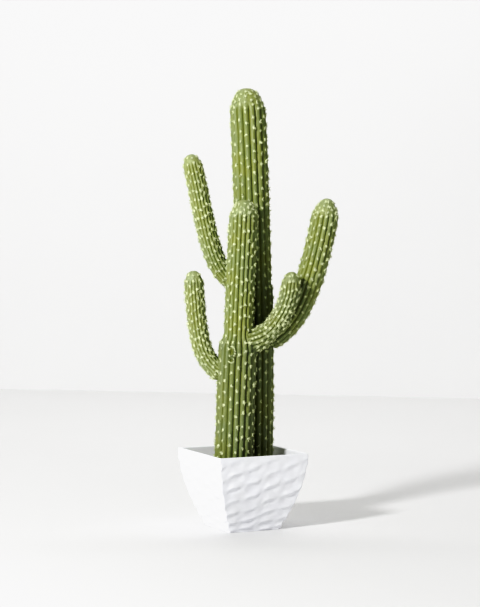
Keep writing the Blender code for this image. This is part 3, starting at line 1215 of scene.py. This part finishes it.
BUD_STEM = "short_stem"
BUD_CREST = 0.74             # where a scar's raised rim is, as a share of its breadth
BUD_BOWL = 0.25              # height of its sunken middle, as a share of the rim's
BUD_SUNK = 0.0010            # how far a scar's foot is under the stem's crests
BUD_LOBES = 9
BUD_LOBE_DEEP = 0.06
BUD_RINGS = 16
BUD_SKIRT = (-0.9, -0.35)    # heights of the rings under a scar's edge
BUD_CLEAR = 0.0030           # no other tuft this near to a scar's rim
BUD_TUFT_SIZE = 0.78
BUD_TUFT_HIGH = 0.3          # how far out its tufts stand, as a share of its rim's height
BUD_TUFT_SPLAY = 0.55        # how far they lean away from its middle
BUD_GROOVE = 0.45            # breadth up to which it has the grooves' green
BUD_PALING = 0.35            # breadth over which that pales to the crests' green
BUDS = (
    {
        "name": "bud_scar",
        "height": 0.3195,
        "bearing": -134.0,
        "wide": 0.0056,
        "tall": 0.0096,
        "proud": 0.0038,
        "tufts": (-40.0, -14.0, 13.0, 36.0, 62.0, 84.0, 150.0, 228.0),
        "seed": 89,
    },
    {
        "name": "low_bud_scar",
        "height": 0.3050,
        "bearing": -134.5,
        "wide": 0.0046,
        "tall": 0.0042,
        "proud": 0.0034,
        "tufts": (-138.0, -112.0, -88.0, -62.0, -34.0, 24.0),
        "seed": 83,
    },
)


def bud_place(limb, bud):
    """Middle of a bud scar on its stem, and its outward, sideways and up axes."""
    bearing = math.radians(bud["bearing"])
    outward = np.array([math.cos(bearing), math.sin(bearing), 0.0])
    upward = np.array([0.0, 0.0, 1.0])
    along = np.array([bud["height"] - STEM_FOOT])
    foot = limb.read(limb.radius, along)[0] - BUD_SUNK
    middle = limb.read(limb.centre, along)[0] + outward * foot
    return middle, outward, np.cross(upward, outward), upward


def bud_piece(limb, bud, surface):
    """A low oval scar: a raised rim round a sunken middle.

    Outside the rim's crest the height is one less a square of the distance from
    it; inside it eases down to the bowl. The oval's radius swells and shrinks
    with the cosine of the lobes' number times the angle, less towards the middle.
    """
    middle, outward, sideways, upward = bud_place(limb, bud)
    breadth = np.linspace(1.0, 0.0, BUD_RINGS, endpoint=False)
    rim = 1.0 - ((breadth - BUD_CREST) / (1.0 - BUD_CREST)) ** 2
    bowl = BUD_BOWL + (1.0 - BUD_BOWL) * smoothstep(breadth / BUD_CREST)
    height = np.concatenate([BUD_SKIRT, np.where(breadth > BUD_CREST, rim, bowl)])
    breadth = np.concatenate([np.ones(len(BUD_SKIRT)), breadth])
    turn = np.linspace(0.0, 2.0 * math.pi, 6 * BUD_LOBES, endpoint=False)
    lobe = 1.0 - BUD_LOBE_DEEP * (1.0 - np.cos(BUD_LOBES * turn)) * breadth[:, None]
    wide = bud["wide"] * breadth[:, None] * lobe * np.cos(turn)
    tall = bud["tall"] * breadth[:, None] * lobe * np.sin(turn)
    proud = bud["proud"] * height[:, None] * np.ones(len(turn))
    points = (
        middle
        + wide[..., None] * sideways
        + tall[..., None] * upward
        + proud[..., None] * outward
    ).reshape(-1, 3)
    ends = [middle + share * bud["proud"] * outward for share in (BUD_SKIRT[0], BUD_BOWL)]
    points = np.concatenate([points, ends])
    faces = closed_tube(len(breadth), len(turn))
    crest = np.repeat(smoothstep((breadth - BUD_GROOVE) / BUD_PALING), len(turn))
    values = {
        "crest": np.append(crest, [0.5, 0.0]),
        "halo": np.zeros(len(points)),
        "age": np.full(len(points), limb.age),
    }
    return put_mesh(bud["name"] + "_skin", points, faces, surface, values=values)


def bud_tufts(limb, bud, settings, surface):
    """Tufts at uneven bearings round a scar's rim, drawn out along it."""
    middle, outward, sideways, upward = bud_place(limb, bud)
    turn = np.radians(bud["tufts"])
    across = np.cos(turn)[:, None] * sideways
    aloft = np.sin(turn)[:, None] * upward
    places = middle + across * bud["wide"] + aloft * bud["tall"]
    places = places + outward * BUD_TUFT_HIGH * bud["proud"]
    normals = unit(outward + BUD_TUFT_SPLAY * (across + aloft))
    along = unit(np.cross(normals, across + aloft))
    name = bud["name"] + "_tufts"
    return tuft_piece(
        name, places, normals, along, settings, surface, bud["seed"], size=BUD_TUFT_SIZE
    )


# ---------------------------------------------------------------- pot

CORNER_POINTS = 4            # points round each upright corner
ROUND_STEPS = 5              # rings over the foot's edge and each edge of the lip
INSIDE_ROWS = 12
FOOT_ROUND = 0.0012          # radius of the foot's edge
RIM_PLAIN = 0.09             # share of the height over which the scales fade at the rim
FOOT_PLAIN = 0.03            # the same at the foot
SCALE_WIDE = 0.0375          # a column of scales
SCALE_FIRST = 0.0045         # the topmost lip, below the rim
SCALE_EARLY = 0.25           # how far the rows are set up, in rows
SCALE_CROWDING = 317.0       # how the rows close up towards the foot
SCALE_CROWD_START = 0.085
SCALE_STEP = 0.046           # how far a lip is flatter than the row's climb
SCALE_LIP = 0.66             # share of a row where the lip is
SCALE_SHIFT = 0.12           # how far a scale is set up or down, in rows
SCALE_SLANT = 0.02           # how far one end is set up and the other down, in rows
SCALE_FULL = 1.9             # above 1 a scale swells more towards its lip
SCALE_ENDS = 0.85            # share of a scale's half width over which it grows shallow
SCALE_VARIED = 0.50          # how much weaker the weakest scale is
SCALE_SIDES = 0.05           # strength left along a scale's sides
SCALE_CORNERS = 0.50         # least strength at a wall's right end
CORNER_REACH = 0.012         # how far in from that end it fades
SCALE_DENTS = 0.07           # broad unevenness over the scales
SCALE_MEAN = 0.40            # relief along a scale's sides, level with the solid's wall
# Each scale's own two numbers are sines of its row and column by these.
OWN_NUMBERS = ((12.9898, 78.233, 0.0), (39.346, 11.135, 1.0))
# Waves of the dents for each column and row, and where they start.
DENT_WAVES = ((1.3, 0.63, 0.7), (0.37, -0.81, 1.9))


def square_path(across):
    """A square with rounded corners as two arrays, once round.

    K is the corner centre's place in units of the half side less the corner
    radius, and N the outward direction. A point is K (half - radius) + N radius.
    """
    run = np.linspace(-1.0, 1.0, across)
    quarter = np.linspace(0.0, 0.5 * math.pi, CORNER_POINTS + 2)[1:-1]
    places = []
    normals = []
    for wall in range(4):
        facing = 0.5 * math.pi * wall - 0.5 * math.pi
        out = np.array([math.cos(facing), math.sin(facing)])
        right = np.array([-out[1], out[0]])
        places.append(out + run[:, None] * right)
        normals.append(np.tile(out, (across, 1)))
        corner = out + right
        places.append(np.tile(corner, (len(quarter), 1)))
        normals.append(np.cos(quarter)[:, None] * out + np.sin(quarter)[:, None] * right)
    return np.concatenate(places), np.concatenate(normals)


def scale_relief(sideways, below, corner, settings):
    """Overlapping scales pressed into a wall, 0 in a hollow to 1 on a lip.

    sideways runs along the wall from its middle, to the right seen from
    outside, and below is the depth under the rim, both in metres. corner is 1
    at the wall's right end, where the lips show as steps in the edge. Columns of
    scales stand side by side, each half a row off the next. A scale swells
    downwards to its lip and turns under. It stands out most in the middle of
    its column, its lip climbs to the right, and it is shallow at the sides.
    Every scale has its own small offset, slope and strength, and broad shallow
    dents lie over them all.
    """
    column = sideways / SCALE_WIDE
    inside = np.mod(column, 1.0) - 0.5
    rows = (below - SCALE_FIRST) / settings.scale_height
    rows = rows + SCALE_CROWDING * np.clip(below - SCALE_CROWD_START, 0.0, None) ** 2
    climb = 0.5 * column + SCALE_STEP * np.sin(2.0 * math.pi * column)
    phase = rows + climb + SCALE_LIP - SCALE_EARLY
    scale = np.floor(phase)
    own, other = (
        np.sin(by_row * scale + by_column * np.floor(column) + start)
        for by_row, by_column, start in OWN_NUMBERS
    )
    shift = SCALE_SHIFT * own * np.cos(math.pi * inside)
    shift = shift + SCALE_SLANT * other * np.sin(2.0 * math.pi * inside)
    part = np.clip(phase - scale + shift, 0.0, 1.0)
    swell = (part / SCALE_LIP) ** SCALE_FULL
    under = smoothstep((1.0 - part) / (1.0 - SCALE_LIP))
    lip = np.where(part < SCALE_LIP, swell, under)
    middle = smoothstep((1.0 - np.abs(2.0 * inside)) / SCALE_ENDS)
    full = 1.0 - SCALE_VARIED * (0.5 + 0.5 * other)
    strength = SCALE_SIDES + (full - SCALE_SIDES) * middle
    strength = strength + np.maximum(SCALE_CORNERS - strength, 0.0) * corner
    dents = 1.0
    for across, down, start in DENT_WAVES:
        dents = dents * np.sin(2.0 * math.pi * (across * column + down * rows) + start)
    return SCALE_MEAN + (lip - SCALE_MEAN) * strength + SCALE_DENTS * dents


def outside_half(height):
    """Half side of the pot's outside at heights, bellied by a power of the depth."""
    down = np.clip(1.0 - height / POT_HEIGHT, 0.0, 1.0)
    narrowing = 0.5 * (POT_RIM_SIDE - POT_FOOT_SIDE)
    return 0.5 * POT_RIM_SIDE - narrowing * down ** POT_TAPER_POWER


def pot_rings():
    """Rings of the pot from the foot's edge up and over the lip and down inside.

    Each has its height, its half side, and 1 where the scales are.
    """
    outer_top = POT_HEIGHT - LIP_ROUND
    inner_half = outside_half(POT_HEIGHT) - POT_WALL
    bend = np.linspace(0.0, 0.5 * math.pi, ROUND_STEPS)
    rows = []
    for angle in bend[:-1]:
        height = FOOT_ROUND * (1.0 - math.cos(angle))
        rows.append((height, outside_half(FOOT_ROUND) - FOOT_ROUND * (1.0 - math.sin(angle)), 0.0))
    for height in np.linspace(FOOT_ROUND, outer_top, POT_DOWN):
        rows.append((height, outside_half(height), 1.0))
    for angle in bend[1:]:
        height = outer_top + LIP_ROUND * math.sin(angle)
        rows.append((height, outside_half(outer_top) - LIP_ROUND * (1.0 - math.cos(angle)), 0.0))
    for angle in bend:
        height = outer_top + LIP_ROUND * math.cos(angle)
        rows.append((height, inner_half + LIP_ROUND * (1.0 - math.sin(angle)), 0.0))
    for height in np.linspace(outer_top, FILL_TOP - INSIDE_DEPTH, INSIDE_ROWS)[1:]:
        rows.append((height, outside_half(height) - POT_WALL, 0.0))
    return np.array(rows).T


def pot_piece(settings, surface):
    """The pot: foot, scaled outside, rounded lip and plain inside as one skin."""
    place, normal = square_path(POT_ACROSS)
    columns = len(place)
    heights, halves, waved = pot_rings()
    rows = len(heights)
    down = 1.0 - heights / POT_HEIGHT
    edge = waved * smoothstep(down / RIM_PLAIN) * smoothstep((1.0 - down) / FOOT_PLAIN)
    half = np.broadcast_to(halves[:, None], (rows, columns))
    below = np.broadcast_to((POT_HEIGHT - heights)[:, None], half.shape)
    lifted = []
    for axis in (0, 1):
        facing = np.where(place[:, axis] < 0.0, -1.0, 1.0)
        turn = facing if axis == 0 else -facing
        sideways = turn * place[:, 1 - axis] * half
        corner = smoothstep(1.0 - (half - sideways) / CORNER_REACH)
        lip = scale_relief(sideways, below, corner, settings)
        lifted.append((lip - SCALE_MEAN) * settings.scale_depth * edge[:, None])
    reach = half[..., None] + np.stack(lifted, axis=-1)
    flat = place[None, :, :] * (reach - POT_CORNER) + normal[None, :, :] * POT_CORNER
    upright = np.broadcast_to(heights[:, None, None], half.shape + (1,))
    points = np.concatenate([flat, upright], axis=-1).reshape(-1, 3)
    points = np.concatenate([points, [(0.0, 0.0, 0.0), (0.0, 0.0, heights[-1])]])
    own = np.abs(normal[:, 0]) > np.abs(normal[:, 1])
    lift = np.where(own[None, :], lifted[0], lifted[1]) / max(settings.scale_depth, TINY)
    relief = np.where(edge[:, None] > 0.0, lift + SCALE_MEAN, 1.0).ravel()
    values = {"relief": np.append(relief, [1, 1])}
    return put_mesh("pot_shell", points, closed_tube(rows, columns), surface, values=values)


# ---------------------------------------------------------------- filling

FILL_CLEAR = 0.0004          # between the filling and the pot's wall
FILL_CELLS = 96              # points across the filling's top
FILL_SIDE_AT = 0.004         # how far under the top its side is measured
FILL_SUNK = 0.0016           # how far the top's middle height is under the solid's
FILL_FOOT = 0.0066           # height of its underside
FILL_SEED = 5
HUMP_HIGH = 0.0006
# Sines of the humps on each axis: their wave, how far it meanders, and the meander's wave.
HUMP_WAVES = ((210.0, 3.0, 90.0), (190.0, 2.0, 110.0))
CRUMB_SHARE = 0.6
CRUMB_WAVES = ((620.0, 1.3), (560.0, 0.4))     # each sine's wave and where it starts
STONE_SEED = 97
STONE_NEAR = 1.1             # over the length of an icosahedron's edge when its radius is 1
STONE_SIZES = (0.0011, 0.0026)     # spans that the random numbers are drawn from
STONE_LONG = (0.8, 1.3)
STONE_WIDE = (0.8, 1.2)
STONE_TALL = (0.5, 0.85)
STONE_DENT = 0.22
STONE_SUNK = 0.0012
STONE_RISE = 0.35            # how far a stone's middle is up, as a share of its size
STONE_INSET = 0.0025         # clear of the pot's wall
STONE_OVERLAP = 0.004        # how far the stones go in under a stem's crests
FILL_TONES = (0.15, 0.55)


def filling_half(height):
    """Half side of the space inside the pot at a height."""
    return outside_half(height) - POT_WALL - FILL_CLEAR


def filling_piece(surface):
    """The filling's block with an uneven, gritty top.

    Its height is a product of two sines whose phases meander, for the humps,
    and a weaker product of two quicker sines, for the crumbs.
    """
    cells = FILL_CELLS
    half = filling_half(FILL_TOP - FILL_SIDE_AT)
    run = np.linspace(-half, half, cells)
    x, y = np.meshgrid(run, run, indexing="ij")
    humps = 1.0
    crumbs = CRUMB_SHARE
    for here, aside, hump, crumb in zip((x, y), (y, x), HUMP_WAVES, CRUMB_WAVES):
        humps = humps * np.sin(hump[0] * here + hump[1] * np.sin(hump[2] * aside))
        crumbs = crumbs * np.sin(crumb[0] * here + crumb[1])
    z = FILL_TOP - FILL_SUNK + HUMP_HIGH * (humps + crumbs)
    top = np.stack([x, y, z], axis=-1).reshape(-1, 3)
    row, column = np.meshgrid(np.arange(cells - 1), np.arange(cells - 1), indexing="ij")
    first = (row * cells + column).ravel()
    quads = np.stack([first, first + cells, first + cells + 1, first + 1], axis=-1)
    index = np.arange(cells)
    edge = np.concatenate(
        [
            index * cells,
            (cells - 1) * cells + index[1:],
            index[::-1][1:] * cells + cells - 1,
            index[::-1][1:-1],
        ]
    )
    shrink = filling_half(FILL_FOOT) / half
    skirt = top[edge] * (shrink, shrink, 0.0) + (0.0, 0.0, FILL_FOOT)
    count = len(top)
    around = len(edge)
    here = np.arange(around)
    after = (here + 1) % around
    sides = np.stack([edge[here], edge[after], count + after, count + here], axis=-1)[:, ::-1]
    points = np.concatenate([top, skirt, [(0.0, 0.0, FILL_FOOT)]])
    bottom = fan(count, around, count + around, inwards=True)
    tone = np.random.default_rng(FILL_SEED).uniform(*FILL_TONES, len(points))
    return put_mesh("filling_block", points, [quads, sides, bottom], surface, values={"tone": tone})


def stone_template():
    """A rough stone of radius 1: an icosahedron, every three near corners a face."""
    golden = 0.5 * (1.0 + math.sqrt(5.0))
    corners = []
    for sign_a in (-1.0, 1.0):
        for sign_b in (-golden, golden):
            corners.append((0.0, sign_a, sign_b))
            corners.append((sign_a, sign_b, 0.0))
            corners.append((sign_b, 0.0, sign_a))
    corners = unit(np.array(corners))
    faces = []
    for a, b, c in itertools.combinations(range(12), 3):
        trio = corners[[a, b, c]]
        spread = np.linalg.norm(trio - np.roll(trio, 1, axis=0), axis=1)
        if spread.max() < STONE_NEAR:
            outward = np.dot(np.cross(trio[1] - trio[0], trio[2] - trio[0]), trio.sum(axis=0))
            faces.append((a, b, c) if outward > 0.0 else (a, c, b))
    return corners, np.array(faces)


def stones_piece(settings, surface, limbs):
    """Loose grit: icosahedra turned, flattened and dented at random on the top."""
    rng = np.random.default_rng(STONE_SEED)
    half = filling_half(FILL_TOP) - STONE_INSET
    spots = rng.uniform(-half, half, (settings.stone_count, 2))
    for limb in limbs:
        away = np.linalg.norm(spots - limb.centre[0, :2], axis=1)
        spots = spots[away > limb.radius[0] - STONE_OVERLAP]
    count = len(spots)
    shape, faces = stone_template()
    size = rng.uniform(*STONE_SIZES, count)
    dent = 1.0 + STONE_DENT * rng.uniform(-1.0, 1.0, (count, len(shape)))
    spans = (STONE_LONG, STONE_WIDE, STONE_TALL)
    squash = np.stack([rng.uniform(*span, count) for span in spans], axis=-1)
    spin = rng.uniform(0.0, 2.0 * math.pi, count)
    local = shape[None, :, :] * dent[..., None] * squash[:, None, :] * size[:, None, None]
    x, y = turned_flat(local[..., 0], local[..., 1], spin)
    height = FILL_TOP - STONE_SUNK + STONE_RISE * size
    points = np.stack(
        [x + spots[:, :1], y + spots[:, 1:], local[..., 2] + height[:, None]], axis=-1
    ).reshape(-1, 3)
    tone = np.repeat(rng.uniform(0.0, 1.0, count), len(shape))
    faces = repeat_faces(faces, count, len(shape))
    values = {"tone": tone}
    return put_mesh("filling_grit", points, [faces], surface, smooth=False, values=values)


# ---------------------------------------------------------------- stage

FLOOR_REACH = 9.0
WALL_AWAY = 2.50             # from the pot to the wall
WALL_YAW = -8.6              # the wall's turn from square to the view, degrees
WALL_REACH = 8.0
WALL_HIGH = 6.0
KEY_LEFT = 37.0              # bearing of the key light, left of the camera, degrees
KEY_HEIGHT = 24.6            # its elevation, degrees
KEY_DISTANCE = 4.0
KEY_AIM_HIGH = 0.30
KEY_SIZE = 0.488
WASH_AWAY = 1.2              # a long lamp over the far floor
WASH_HIGH = 3.4
WASH_AIM_HIGH = 1.2
WASH_LONG = 4.0
WASH_WIDE = 0.8
FILL_TINT = (1.0, 0.998, 0.975, 1.0)
VIEW_END = 60.0              # as far as the camera sees
FAINT_PATCHES = 0.985        # how bright the floor's dullest patches are, as a share
# Scene values and the values that they are shown as.
TONES = (
    (0.020, 0.002),
    (0.038, 0.006),
    (0.110, 0.037),
    (0.210, 0.138),
    (0.280, 0.219),
    (0.390, 0.345),
    (0.530, 0.500),
    (0.700, 0.700),
    (0.850, 0.846),
    (0.930, 0.910),
    (1.000, 0.943),
    (1.100, 0.958),
    (1.200, 0.969),
)
FULL_WHITE = 1.5             # scene value that is shown as pure white


def view_axes():
    """Right, away and up directions of the main view, level with the floor."""
    turn = math.radians(VIEW_AZIMUTH)
    right = Vector((math.cos(turn), math.sin(turn), 0.0))
    away = Vector((-math.sin(turn), math.cos(turn), 0.0))
    return right, away, Vector((0.0, 0.0, 1.0))


def floor_material(name, colour):
    """Pale matt surface with a faint unevenness."""
    made, tree, shader, place = blank_material(name, 0.7)
    white = tuple(colour)
    faint = tuple(part * FAINT_PATCHES for part in white)
    patchy = mix_colour(tree, blotches(tree, place, 1.4, 0.35, 0.70), white, faint)
    tree.links.new(patchy, shader.inputs["Base Color"])
    shader.inputs["Specular IOR Level"].default_value = 0.2
    return made


def wall_material(name, colour):
    """The same pale surface, clear from behind so that it hides no view."""
    made = floor_material(name, colour)
    tree = made.node_tree
    shader = tree.nodes["Principled BSDF"]
    clear = tree.nodes.new("ShaderNodeBsdfTransparent")
    behind = tree.nodes.new("ShaderNodeNewGeometry").outputs["Backfacing"]
    chosen = tree.nodes.new("ShaderNodeMixShader")
    tree.links.new(behind, chosen.inputs["Fac"])
    tree.links.new(shader.outputs["BSDF"], chosen.inputs[1])
    tree.links.new(clear.outputs["BSDF"], chosen.inputs[2])
    tree.links.new(chosen.outputs["Shader"], tree.nodes["Material Output"].inputs["Surface"])
    return made


def flat_sheet(name, corners, surface):
    """One flat four-sided sheet."""
    mesh = bpy.data.meshes.new(name)
    mesh.from_pydata([tuple(corner) for corner in corners], [], [(0, 1, 2, 3)])
    mesh.materials.append(surface)
    made = bpy.data.objects.new(name, mesh)
    bpy.context.collection.objects.link(made)
    return made


def floor_sheet(surface):
    """The floor, level with the pot's underside."""
    signs = ((-1.0, -1.0), (1.0, -1.0), (1.0, 1.0), (-1.0, 1.0))
    corners = [(x * FLOOR_REACH, y * FLOOR_REACH, 0.0) for x, y in signs]
    return flat_sheet("stage_floor", corners, surface)


def wall_sheet(surface):
    """A plain wall behind, turned a little from square to the view."""
    right, away, up = view_axes()
    turn = math.radians(WALL_YAW)
    along = (right * math.cos(turn) + away * math.sin(turn)) * WALL_REACH
    middle = away * WALL_AWAY
    rise = up * WALL_HIGH
    corners = [middle - along, middle + along, middle + along + rise, middle - along + rise]
    return flat_sheet("stage_wall", corners, surface)


def area_lamp(name, shape, power, size, place, towards):
    """A flat lamp at a place, shining away from a direction."""
    lamp = bpy.data.lights.new(name, "AREA")
    lamp.energy = power
    lamp.shape = shape
    lamp.size = size
    made = bpy.data.objects.new(name, lamp)
    made.location = place
    made.rotation_euler = towards.to_track_quat("Z", "Y").to_euler()
    bpy.context.collection.objects.link(made)
    return lamp


def key_light(settings):
    """A soft round light from the front left."""
    right, away, up = view_axes()
    bearing = math.radians(KEY_LEFT)
    rise = math.radians(KEY_HEIGHT)
    level = -right * math.sin(bearing) - away * math.cos(bearing)
    towards = level * math.cos(rise) + up * math.sin(rise)
    place = Vector((0.0, 0.0, KEY_AIM_HIGH)) + towards * KEY_DISTANCE
    area_lamp("key", "DISK", settings.key_power, KEY_SIZE, place, towards)


def wall_light(settings):
    """A long lamp above that washes the wall and the far floor."""
    _, away, up = view_axes()
    place = away * WASH_AWAY + up * WASH_HIGH
    towards = up * (WASH_HIGH - WASH_AIM_HIGH) - away * (WALL_AWAY - WASH_AWAY)
    lamp = area_lamp("wash", "RECTANGLE", settings.wall_power, WASH_LONG, place, towards)
    lamp.size_y = WASH_WIDE


def even_light(context, settings):
    """Plain light from all round."""
    world = bpy.data.worlds.new("even light")
    world.use_nodes = True
    background = world.node_tree.nodes["Background"]
    background.inputs["Color"].default_value = FILL_TINT
    background.inputs["Strength"].default_value = settings.fill_strength
    context.scene.world = world


def set_tones(context):
    """Plain tones, a little deeper in the darks, that roll off softly to white."""
    view = context.scene.view_settings
    view.view_transform = "Standard"
    view.use_curve_mapping = True
    view.curve_mapping.use_clip = False
    tones = view.curve_mapping.curves[3]
    tones.points[-1].location = (FULL_WHITE, 1.0)
    for scene_value, shown in TONES:
        tones.points.new(scene_value, shown)
    view.curve_mapping.update()


def set_camera(context):
    """The camera of the main view, level but for a slight pitch and roll."""
    right, away, up = view_axes()
    pitch = math.radians(CAMERA_PITCH)
    roll = math.radians(CAMERA_ROLL)
    forward = away * math.cos(pitch) - up * math.sin(pitch)
    raised = up * math.cos(pitch) + away * math.sin(pitch)
    rolled_right = right * math.cos(roll) - raised * math.sin(roll)
    rolled_up = right * math.sin(roll) + raised * math.cos(roll)
    turned = Matrix((rolled_right, rolled_up, -forward)).transposed()
    lens = bpy.data.cameras.new("camera")
    lens.lens = CAMERA_LENS
    lens.sensor_fit = "AUTO"
    lens.clip_end = VIEW_END
    made = bpy.data.objects.new("camera", lens)
    place = right * CAMERA_ASIDE - away * CAMERA_DISTANCE + up * CAMERA_HEIGHT
    made.matrix_world = Matrix.Translation(place) @ turned.to_4x4()
    bpy.context.collection.objects.link(made)
    context.scene.camera = made


# ---------------------------------------------------------------- what several operators use

TUFT_SIDEWAYS = 0.10         # how far a tuft strays from its crest, in ribs
LIMB_CLEAR = 0.0006          # a tuft nearer than this to another limb is left out
HEEL_CLEAR = 0.002           # from where an arm leaves its stem to its first tuft


def stem_limbs(context):
    """Both stems as limbs."""
    return [stem_limb(name, context.scene.saguaro_skin) for name in STEMS]


def arm_limbs(context):
    """The four arms as limbs."""
    return [arm_limb(name, context.scene.saguaro_skin) for name in ARMS]


def material_once(name, make, *settings):
    """The named material, made the first time it is asked for."""
    if name in bpy.data.materials:
        return bpy.data.materials[name]
    return make(*settings)


def skin_surface(context):
    """Material of every skin."""
    return material_once("Moulded Cactus Green", skin_material, context.scene.saguaro_skin)


def fibre_surface(context):
    """Material of every tuft."""
    return material_once("Cream Fibre", fibre_material, context.scene.saguaro_tufts)


def limb_tufts(limb, others, context):
    """A limb's tufts, without those in another limb, at its root or near a bud scar."""
    around, along = limb.tufts.T
    rng = np.random.default_rng(limb.seed + 1)
    around = around + rng.uniform(-TUFT_SIDEWAYS, TUFT_SIDEWAYS, len(around))
    place, normal, lengthwise = limb.frame(along, around)
    free = clear_of(place, others, LIMB_CLEAR)
    free &= along > limb.heel + HEEL_CLEAR
    if limb.name == BUD_STEM:
        for bud in BUDS:
            away = np.linalg.norm(place - bud_place(limb, bud)[0], axis=1)
            free &= away > 0.5 * (bud["wide"] + bud["tall"]) + BUD_CLEAR
    settings = context.scene.saguaro_tufts
    surface = fibre_surface(context)
    name = limb.name + "_tufts"
    kept = (place[free], normal[free], lengthwise[free])
    return tuft_piece(name, *kept, settings, surface, limb.seed + 2)


# ---------------------------------------------------------------- operators

class SAGUARO_OT_pot(bpy.types.Operator):
    """Make the pot with its pressed scales"""

    bl_idname = "saguaro.pot"
    bl_label = "Pot"

    def execute(self, context):
        settings = context.scene.saguaro_pot
        surface = material_once("Matt White Pot", pot_material, settings)
        dress(pot_piece(settings, surface), "pot", "pot")
        return {"FINISHED"}


class SAGUARO_OT_filling(bpy.types.Operator):
    """Make the filling and its loose grit"""

    bl_idname = "saguaro.filling"
    bl_label = "Filling and grit"

    def execute(self, context):
        surface = material_once("Grit", grit_material)
        dress(filling_piece(surface), "filling", "filling")
        stones = stones_piece(context.scene.saguaro_pot, surface, stem_limbs(context))
        dress(stones, "filling")
        return {"FINISHED"}


class SAGUARO_OT_stems(bpy.types.Operator):
    """Make the ribbed skins of both stems"""

    bl_idname = "saguaro.stems"
    bl_label = "Stems"

    def execute(self, context):
        for limb in stem_limbs(context):
            stem = STEMS[limb.name]
            top = stem["shoulder"][2] - STEM_FOOT
            shoulder = (top - stem["shoulder_height"], top)
            skin = skin_piece(limb, skin_surface(context), shoulder=shoulder)
            dress(skin, "cactus", limb.name)
        return {"FINISHED"}


class SAGUARO_OT_arms(bpy.types.Operator):
    """Make the ribbed skins of the four arms"""

    bl_idname = "saguaro.arms"
    bl_label = "Arms"

    def execute(self, context):
        for limb in arm_limbs(context):
            skin = skin_piece(limb, skin_surface(context), start=limb.heel - HEEL_DEEP)
            dress(skin, "cactus", limb.name + "_elbow", limb.name + "_upright")
        return {"FINISHED"}


class SAGUARO_OT_tufts(bpy.types.Operator):
    """Set a tuft of cream fibre at every place along the ribs"""

    bl_idname = "saguaro.tufts"
    bl_label = "Tufts"

    def execute(self, context):
        limbs = stem_limbs(context) + arm_limbs(context)
        for limb in limbs:
            others = [other for other in limbs if other is not limb]
            dress(limb_tufts(limb, others, context), "cactus")
        return {"FINISHED"}


class SAGUARO_OT_bud(bpy.types.Operator):
    """Make the bud scars on the short stem, with the tufts round them"""

    bl_idname = "saguaro.bud"
    bl_label = "Bud scars"

    def execute(self, context):
        limb = stem_limb(BUD_STEM, context.scene.saguaro_skin)
        for bud in BUDS:
            dress(bud_piece(limb, bud, skin_surface(context)), "cactus")
            tufts = bud_tufts(limb, bud, context.scene.saguaro_tufts, fibre_surface(context))
            dress(tufts, "cactus")
        return {"FINISHED"}


class SAGUARO_OT_stage(bpy.types.Operator):
    """Set the floor, wall, lights and camera"""

    bl_idname = "saguaro.stage"
    bl_label = "Stage"

    def execute(self, context):
        settings = context.scene.saguaro_stage
        floor_sheet(floor_material("Pale Floor", settings.floor_white))
        wall_sheet(wall_material("Pale Wall", settings.wall_white))
        key_light(settings)
        wall_light(settings)
        even_light(context, settings)
        set_camera(context)
        set_tones(context)
        return {"FINISHED"}


# ---------------------------------------------------------------- panel and registration

class SAGUARO_PT_panel(bpy.types.Panel):
    """Sidebar panel that lists the settings and the operators"""

    bl_label = "Potted Saguaro"
    bl_idname = "SAGUARO_PT_panel"
    bl_space_type = "VIEW_3D"
    bl_region_type = "UI"
    bl_category = "Saguaro"

    def draw(self, context):
        layout = self.layout
        scene = context.scene
        for settings in SETTINGS:
            group = getattr(scene, settings)
            box = layout.box()
            for key in group.__annotations__:
                box.prop(group, key)
        for operator in OPERATORS:
            layout.operator(operator.bl_idname)


OPERATORS = (
    SAGUARO_OT_pot,
    SAGUARO_OT_filling,
    SAGUARO_OT_stems,
    SAGUARO_OT_arms,
    SAGUARO_OT_tufts,
    SAGUARO_OT_bud,
    SAGUARO_OT_stage,
)
SETTINGS = {
    "saguaro_skin": SaguaroSkinSettings,
    "saguaro_tufts": SaguaroTuftSettings,
    "saguaro_pot": SaguaroPotSettings,
    "saguaro_stage": SaguaroStageSettings,
}


def register():
    """Register the settings, operators and panel."""
    for key, group in SETTINGS.items():
        bpy.utils.register_class(group)
        setattr(bpy.types.Scene, key, PointerProperty(type=group))
    for operator in OPERATORS:
        bpy.utils.register_class(operator)
    bpy.utils.register_class(SAGUARO_PT_panel)


def unregister():
    """Undo register."""
    bpy.utils.unregister_class(SAGUARO_PT_panel)
    for operator in reversed(OPERATORS):
        bpy.utils.unregister_class(operator)
    for key, group in SETTINGS.items():
        delattr(bpy.types.Scene, key)
        bpy.utils.unregister_class(group)


def main():
    """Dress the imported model."""
    register()
    bpy.ops.saguaro.pot()
    bpy.ops.saguaro.filling()
    bpy.ops.saguaro.stems()
    bpy.ops.saguaro.arms()
    bpy.ops.saguaro.tufts()
    bpy.ops.saguaro.bud()
    bpy.ops.saguaro.stage()


if __name__ == "__main__":
    main()
